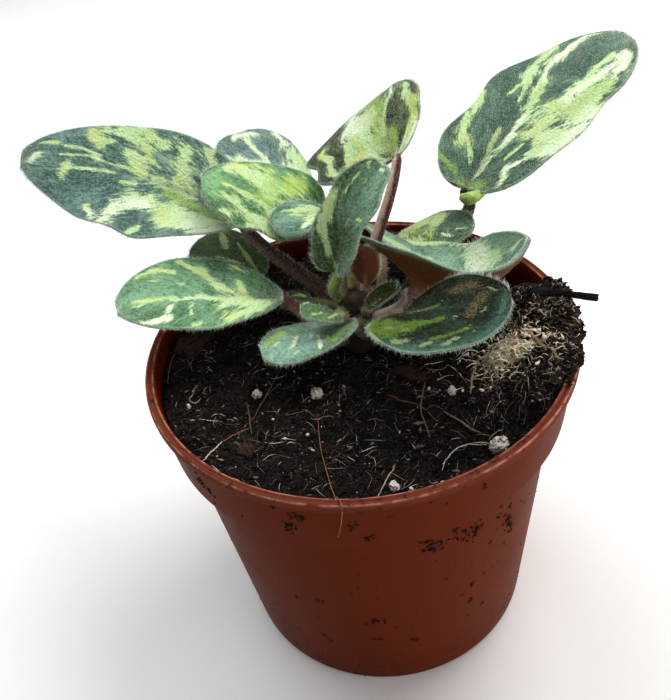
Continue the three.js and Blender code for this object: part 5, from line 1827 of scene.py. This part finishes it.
def make_pot():
    """The pot: one ring extruded and scaled along its outline, closed, and drilled in its floor."""
    rings = pot_rings()
    size, level = rings[0]
    bpy.ops.mesh.primitive_circle_add(
        vertices=168, radius=size * MM, location=(0, 0, level * MM), fill_type="NGON"
    )
    pot = named("pot_shell")
    bpy.ops.object.transform_apply()
    bpy.ops.object.mode_set(mode="EDIT")
    bpy.ops.mesh.select_mode(type="EDGE")
    bpy.ops.mesh.select_all(action="SELECT")
    for radius, height in rings[1:]:
        bpy.ops.mesh.extrude_edges_move(TRANSFORM_OT_translate={"value": (0, 0, (height - level) * MM)})
        bpy.ops.transform.resize(value=(radius / size, radius / size, 1))
        size, level = radius, height
    bpy.ops.mesh.edge_face_add()
    bpy.ops.mesh.select_all(action="SELECT")
    bpy.ops.mesh.normals_make_consistent(inside=False)
    bpy.ops.object.mode_set(mode="OBJECT")
    drills = []
    for i in range(DRAIN_HOLES):
        angle = 2 * math.pi * (i + 0.5) / DRAIN_HOLES
        place = (DRAIN_CIRCLE * math.cos(angle) * MM, DRAIN_CIRCLE * math.sin(angle) * MM, 0)
        bpy.ops.mesh.primitive_cylinder_add(
            vertices=32, radius=bpy.context.scene.violet_pot.drain_radius, depth=6 * MM, location=place
        )
        drills.append(bpy.context.object)
    drill = join_all(drills, "pot_drill")
    bpy.ops.object.transform_apply()
    cut = pot.modifiers.new("drain_holes", "BOOLEAN")
    cut.operation = "DIFFERENCE"
    cut.object = drill
    apply_all(pot)
    bpy.data.objects.remove(drill)
    only(pot)
    bpy.ops.object.shade_smooth_by_angle(angle=math.radians(32))
    return pot


def make_crown():
    """The crown: a short stem, thicker in its middle, with scars of old stalks."""
    bpy.ops.mesh.primitive_cylinder_add(vertices=48, radius=3.0 * MM, depth=0.6 * MM, location=(0, 0, 0))
    crown = named("crown_stem")
    grow_rings(crown, 3.0, 61.2, CROWN_RINGS)
    bpy.ops.mesh.select_all(action="SELECT")
    bpy.ops.transform.translate(value=(CROWN_X * MM, CROWN_Y * MM, 60.9 * MM))
    bpy.ops.object.mode_set(mode="OBJECT")
    smooth = crown.modifiers.new("rounding", "SUBSURF")
    smooth.levels = smooth.render_levels = 2
    roughen(crown, "scars", 1.6, 0.9)
    roughen(crown, "bark_of_crown", 0.5, 0.25)
    return smoothed(crown)


def colour_setting(name, description, colour):
    """A colour that may be changed in the panel, given as it looks on a screen."""
    return bpy.props.FloatVectorProperty(
        name=name, description=description, subtype="COLOR", size=3, min=0, max=1, default=linear(colour)[:3]
    )


class VioletPot(bpy.types.PropertyGroup):
    """Colours and drain holes of the pot."""

    colour: colour_setting("Colour", "Main colour of the plastic", (100, 38, 7))
    faded_colour: colour_setting("Faded colour", "Colour where the plastic is worn", (124, 57, 20))
    # The lip colour is painted light: lighter than the wall where the lip catches the light
    lip_colour: colour_setting("Lip colour", "Colour of the scuffed lip", (136, 86, 73))
    drain_radius: bpy.props.FloatProperty(
        name="Drain hole", description="Radius of each drain hole", default=0.0025, min=0.0005, unit="LENGTH"
    )


class VioletSoil(bpy.types.PropertyGroup):
    """Colours of the soil, and how fine it is."""

    dark: colour_setting("Dark", "Moist peat", (9, 7, 6))
    brown: colour_setting("Brown", "Drier peat", (54, 40, 34))
    grain: bpy.props.FloatProperty(
        name="Grain", description="Size of the finest bumps", default=0.00058, min=0.0003, unit="LENGTH"
    )
    crumbs: bpy.props.IntProperty(name="Crumbs", description="How many lie loose", default=12500, min=1)
    fibres: bpy.props.IntProperty(name="Fibres", description="How many lie loose", default=3600, min=1)


class VioletLeaves(bpy.types.PropertyGroup):
    """Colours of the leaves' markings, and how hairy the leaves are."""

    cream: colour_setting("Cream", "Yellow cream markings", (198, 221, 174))
    white: colour_setting("White", "White cream markings", (228, 238, 214))
    bright: colour_setting("Bright green", "Fresh green between the markings", (146, 178, 78))
    upper_hairs: bpy.props.IntProperty(
        name="Upper hairs", description="Hairs on a square centimetre of the upper face", default=760, min=0
    )
    lower_hairs: bpy.props.IntProperty(
        name="Lower hairs", description="Hairs on a square centimetre of the underside", default=200, min=0
    )


class VioletStage(bpy.types.PropertyGroup):
    """The stage's light and lens."""

    sky: bpy.props.FloatProperty(name="Sky", description="Strength of the even light", default=0.45, min=0)
    contrast: bpy.props.FloatProperty(
        name="Contrast", description="Gamma of the picture, lower for deeper shadows", default=0.8, min=0.1
    )
    lens: bpy.props.FloatProperty(
        name="Lens", description="Focal length", default=41.766, min=1, unit="CAMERA"
    )


class VIOLET_OT_pot(bpy.types.Operator):
    """Models the nursery pot"""

    bl_idname = "violet.pot"
    bl_label = "Pot"

    def execute(self, context):
        hand_over(make_pot(), "pot", pot_finish(), "pot")
        return {"FINISHED"}


class VIOLET_OT_soil(bpy.types.Operator):
    """Models the soil that fills the pot"""

    bl_idname = "violet.soil"
    bl_label = "Soil"

    def execute(self, context):
        peat = peat_finish()
        hand_over(make_soil_top(), "soil", peat, "soil")
        hand_over(make_soil_bulk(), "soil", peat)
        return {"FINISHED"}


class VIOLET_OT_crumbs(bpy.types.Operator):
    """Models the loose crumbs that lie on the soil"""

    bl_idname = "violet.crumbs"
    bl_label = "Crumbs"

    def execute(self, context):
        loose = bits_finish("soil_crumb", (12, 8, 6), (52, 39, 33), (168, 152, 140))
        hand_over(make_crumbs(soil_ground()), "soil", loose)
        return {"FINISHED"}


class VIOLET_OT_fibres(bpy.types.Operator):
    """Models the fine fibres and the long strands on the soil"""

    bl_idname = "violet.fibres"
    bl_label = "Fibres"

    def execute(self, context):
        ground = soil_ground()
        fibre = bits_finish("soil_fibre", (48, 34, 28), (124, 104, 90), (236, 228, 216))
        hand_over(make_fibres(ground), "soil", fibre)
        hand_over(make_strands(ground), "fibre", strand_finish())
        return {"FINISHED"}


class VIOLET_OT_fibre_patch(bpy.types.Operator):
    """Models the pale patch of matted fibre"""

    bl_idname = "violet.fibre_patch"
    bl_label = "Fibre patch"

    def execute(self, context):
        straw = bits_finish("pale_straw", (100, 74, 54), (240, 222, 188), (255, 253, 240))
        hand_over(make_patch(soil_ground()), "fibre", straw, "fibre_patch")
        return {"FINISHED"}


class VIOLET_OT_perlite(bpy.types.Operator):
    """Models the perlite grains and specks"""

    bl_idname = "violet.perlite"
    bl_label = "Perlite"

    def execute(self, context):
        foam = perlite_finish()
        for name, (at, half, turn) in PERLITE.items():
            grain = make_lump(name + "_grain", at, half, turn, 0, [(1.1, 1.3), (0.4, 0.5)])
            hand_over(grain, "perlite", foam, name)
        specks = bits_finish("perlite_speck", (120, 112, 104), (176, 170, 164), (226, 222, 216))
        hand_over(make_specks(soil_ground()), "perlite", specks)
        return {"FINISHED"}


class VIOLET_OT_bark(bpy.types.Operator):
    """Models the bark chips and the splinter"""

    bl_idname = "violet.bark"
    bl_label = "Bark"

    def execute(self, context):
        for name, (at, half, turn, tilt) in BARK.items():
            bark = bark_finish(name + "_bark", (34, 20, 16), (96, 66, 56))
            hand_over(make_chip(name + "_piece", at, half, turn, tilt), "bark", bark, name)
        wood = bark_finish("splinter_wood", (12, 9, 8), (44, 34, 30))
        hand_over(make_splinter(), "bark", wood, "bark_splinter")
        return {"FINISHED"}


class VIOLET_OT_pot_crumbs(bpy.types.Operator):
    """Models the crumbs of soil that stick to the outside of the pot"""

    bl_idname = "violet.pot_crumbs"
    bl_label = "Pot crumbs"

    def execute(self, context):
        stuck = bits_finish("stuck_crumb", (26, 12, 7), (48, 26, 17), (92, 62, 46))
        hand_over(make_pot_crumbs(), "soil", stuck)
        return {"FINISHED"}


class VIOLET_OT_crown(bpy.types.Operator):
    """Models the crown that the stalks grow from"""

    bl_idname = "violet.crown"
    bl_label = "Crown"

    def execute(self, context):
        hand_over(make_crown(), "crown", crown_finish(), "crown")
        return {"FINISHED"}


class VIOLET_OT_leaves(bpy.types.Operator):
    """Models every leaf with its stalk"""

    bl_idname = "violet.leaves"
    bl_label = "Leaves"

    def execute(self, context):
        for name, leaf in LEAVES.items():
            parts = [make_blade(name, leaf), make_stalk(name + "_stalk", leaf)]
            if "curl" in leaf:
                parts.append(make_lobe(name + "_lobe", leaf))
            piece = join_all(parts, name + "_blade")
            hand_over(piece, SLOTS[name], leaf_finish(name + "_skin", leaf), name)
        return {"FINISHED"}


class VIOLET_OT_hairs(bpy.types.Operator):
    """Models the fine hairs of every leaf"""

    bl_idname = "violet.hairs"
    bl_label = "Hairs"

    def execute(self, context):
        hair = hair_finish()
        for seed, (name, leaf) in enumerate(LEAVES.items()):
            hand_over(leaf_hairs(name, leaf, 300 + seed), SLOTS[name], hair)
        return {"FINISHED"}


class VIOLET_OT_stage(bpy.types.Operator):
    """Sets up the floor, the light and the camera"""

    bl_idname = "violet.stage"
    bl_label = "Stage"

    def execute(self, context):
        looks = context.scene.violet_stage
        deselect()
        bpy.ops.mesh.primitive_plane_add(size=6.0, location=(0, 0, 0))
        floor = named("floor")
        bpy.ops.object.transform_apply()
        floor.data.materials.append(floor_finish())
        world = bpy.data.worlds.new("studio")
        world.use_nodes = True
        sky = world.node_tree.nodes["Background"]
        sky.inputs["Color"].default_value = (1.0, 1.0, 1.0, 1.0)
        sky.inputs["Strength"].default_value = looks.sky
        context.scene.world = world
        for name, (place, size, power, colour) in LAMPS.items():
            bpy.ops.object.light_add(type="AREA", location=place)
            lamp = context.object
            lamp.name = name
            lamp.data.shape = "DISK"
            lamp.data.size = size
            lamp.data.energy = power
            lamp.data.color = colour
            aim = Vector(LAMP_AIM) - Vector(place)
            lamp.rotation_euler = aim.to_track_quat("-Z", "Y").to_euler()
        self.add_camera(context, looks.lens)
        context.scene.view_settings.view_transform = "Standard"
        context.scene.view_settings.gamma = looks.contrast
        return {"FINISHED"}

    def add_camera(self, context, lens):
        """Stands the camera where the photo was taken from."""
        bpy.ops.object.camera_add()
        camera = context.object
        camera.name = "photo_camera"
        forward = Vector(CAMERA_FORWARD).normalized()
        right = forward.cross(Vector((0, 0, 1))).normalized()
        up = right.cross(forward)
        across = right * math.cos(CAMERA_ROLL) + up * math.sin(CAMERA_ROLL)
        above = up * math.cos(CAMERA_ROLL) - right * math.sin(CAMERA_ROLL)
        turn = Matrix((across, above, -forward)).transposed()
        camera.matrix_world = Matrix.Translation(Vector(CAMERA_PLACE) * MM) @ turn.to_4x4()
        camera.data.lens = lens
        camera.data.sensor_width = CAMERA_SENSOR
        camera.data.clip_start = 0.005
        camera.data.clip_end = 20.0
        context.scene.camera = camera


class VIOLET_PT_panel(bpy.types.Panel):
    """Lists the sizes and colours, and the pieces in the order they are made"""

    bl_idname = "VIOLET_PT_panel"
    bl_label = "Violet"
    bl_space_type = "VIEW_3D"
    bl_region_type = "UI"
    bl_category = "Violet"

    def draw(self, context):
        for name, group in GROUPS.items():
            for setting in group.__annotations__:
                self.layout.prop(getattr(context.scene, name), setting)
        for operator in OPERATORS:
            self.layout.operator(operator.bl_idname)


OPERATORS = (
    VIOLET_OT_stage, VIOLET_OT_pot, VIOLET_OT_soil, VIOLET_OT_crumbs, VIOLET_OT_fibres, VIOLET_OT_fibre_patch,
    VIOLET_OT_perlite, VIOLET_OT_bark, VIOLET_OT_pot_crumbs, VIOLET_OT_crown, VIOLET_OT_leaves,
    VIOLET_OT_hairs,
)
GROUPS = {
    "violet_pot": VioletPot, "violet_soil": VioletSoil,
    "violet_leaves": VioletLeaves, "violet_stage": VioletStage,
}
CLASSES = tuple(GROUPS.values()) + OPERATORS + (VIOLET_PT_panel,)


def register():
    for kind in CLASSES:
        bpy.utils.register_class(kind)
    for name, group in GROUPS.items():
        setattr(bpy.types.Scene, name, bpy.props.PointerProperty(type=group))


def unregister():
    for name in GROUPS:
        delattr(bpy.types.Scene, name)
    for kind in reversed(CLASSES):
        bpy.utils.unregister_class(kind)


def main():
    register()
    bpy.ops.violet.stage()
    bpy.ops.violet.pot()
    bpy.ops.violet.soil()
    bpy.ops.violet.crumbs()
    bpy.ops.violet.fibres()
    bpy.ops.violet.fibre_patch()
    bpy.ops.violet.perlite()
    bpy.ops.violet.bark()
    bpy.ops.violet.pot_crumbs()
    bpy.ops.violet.crown()
    bpy.ops.violet.leaves()
    bpy.ops.violet.hairs()


if __name__ == "__main__":
    main()
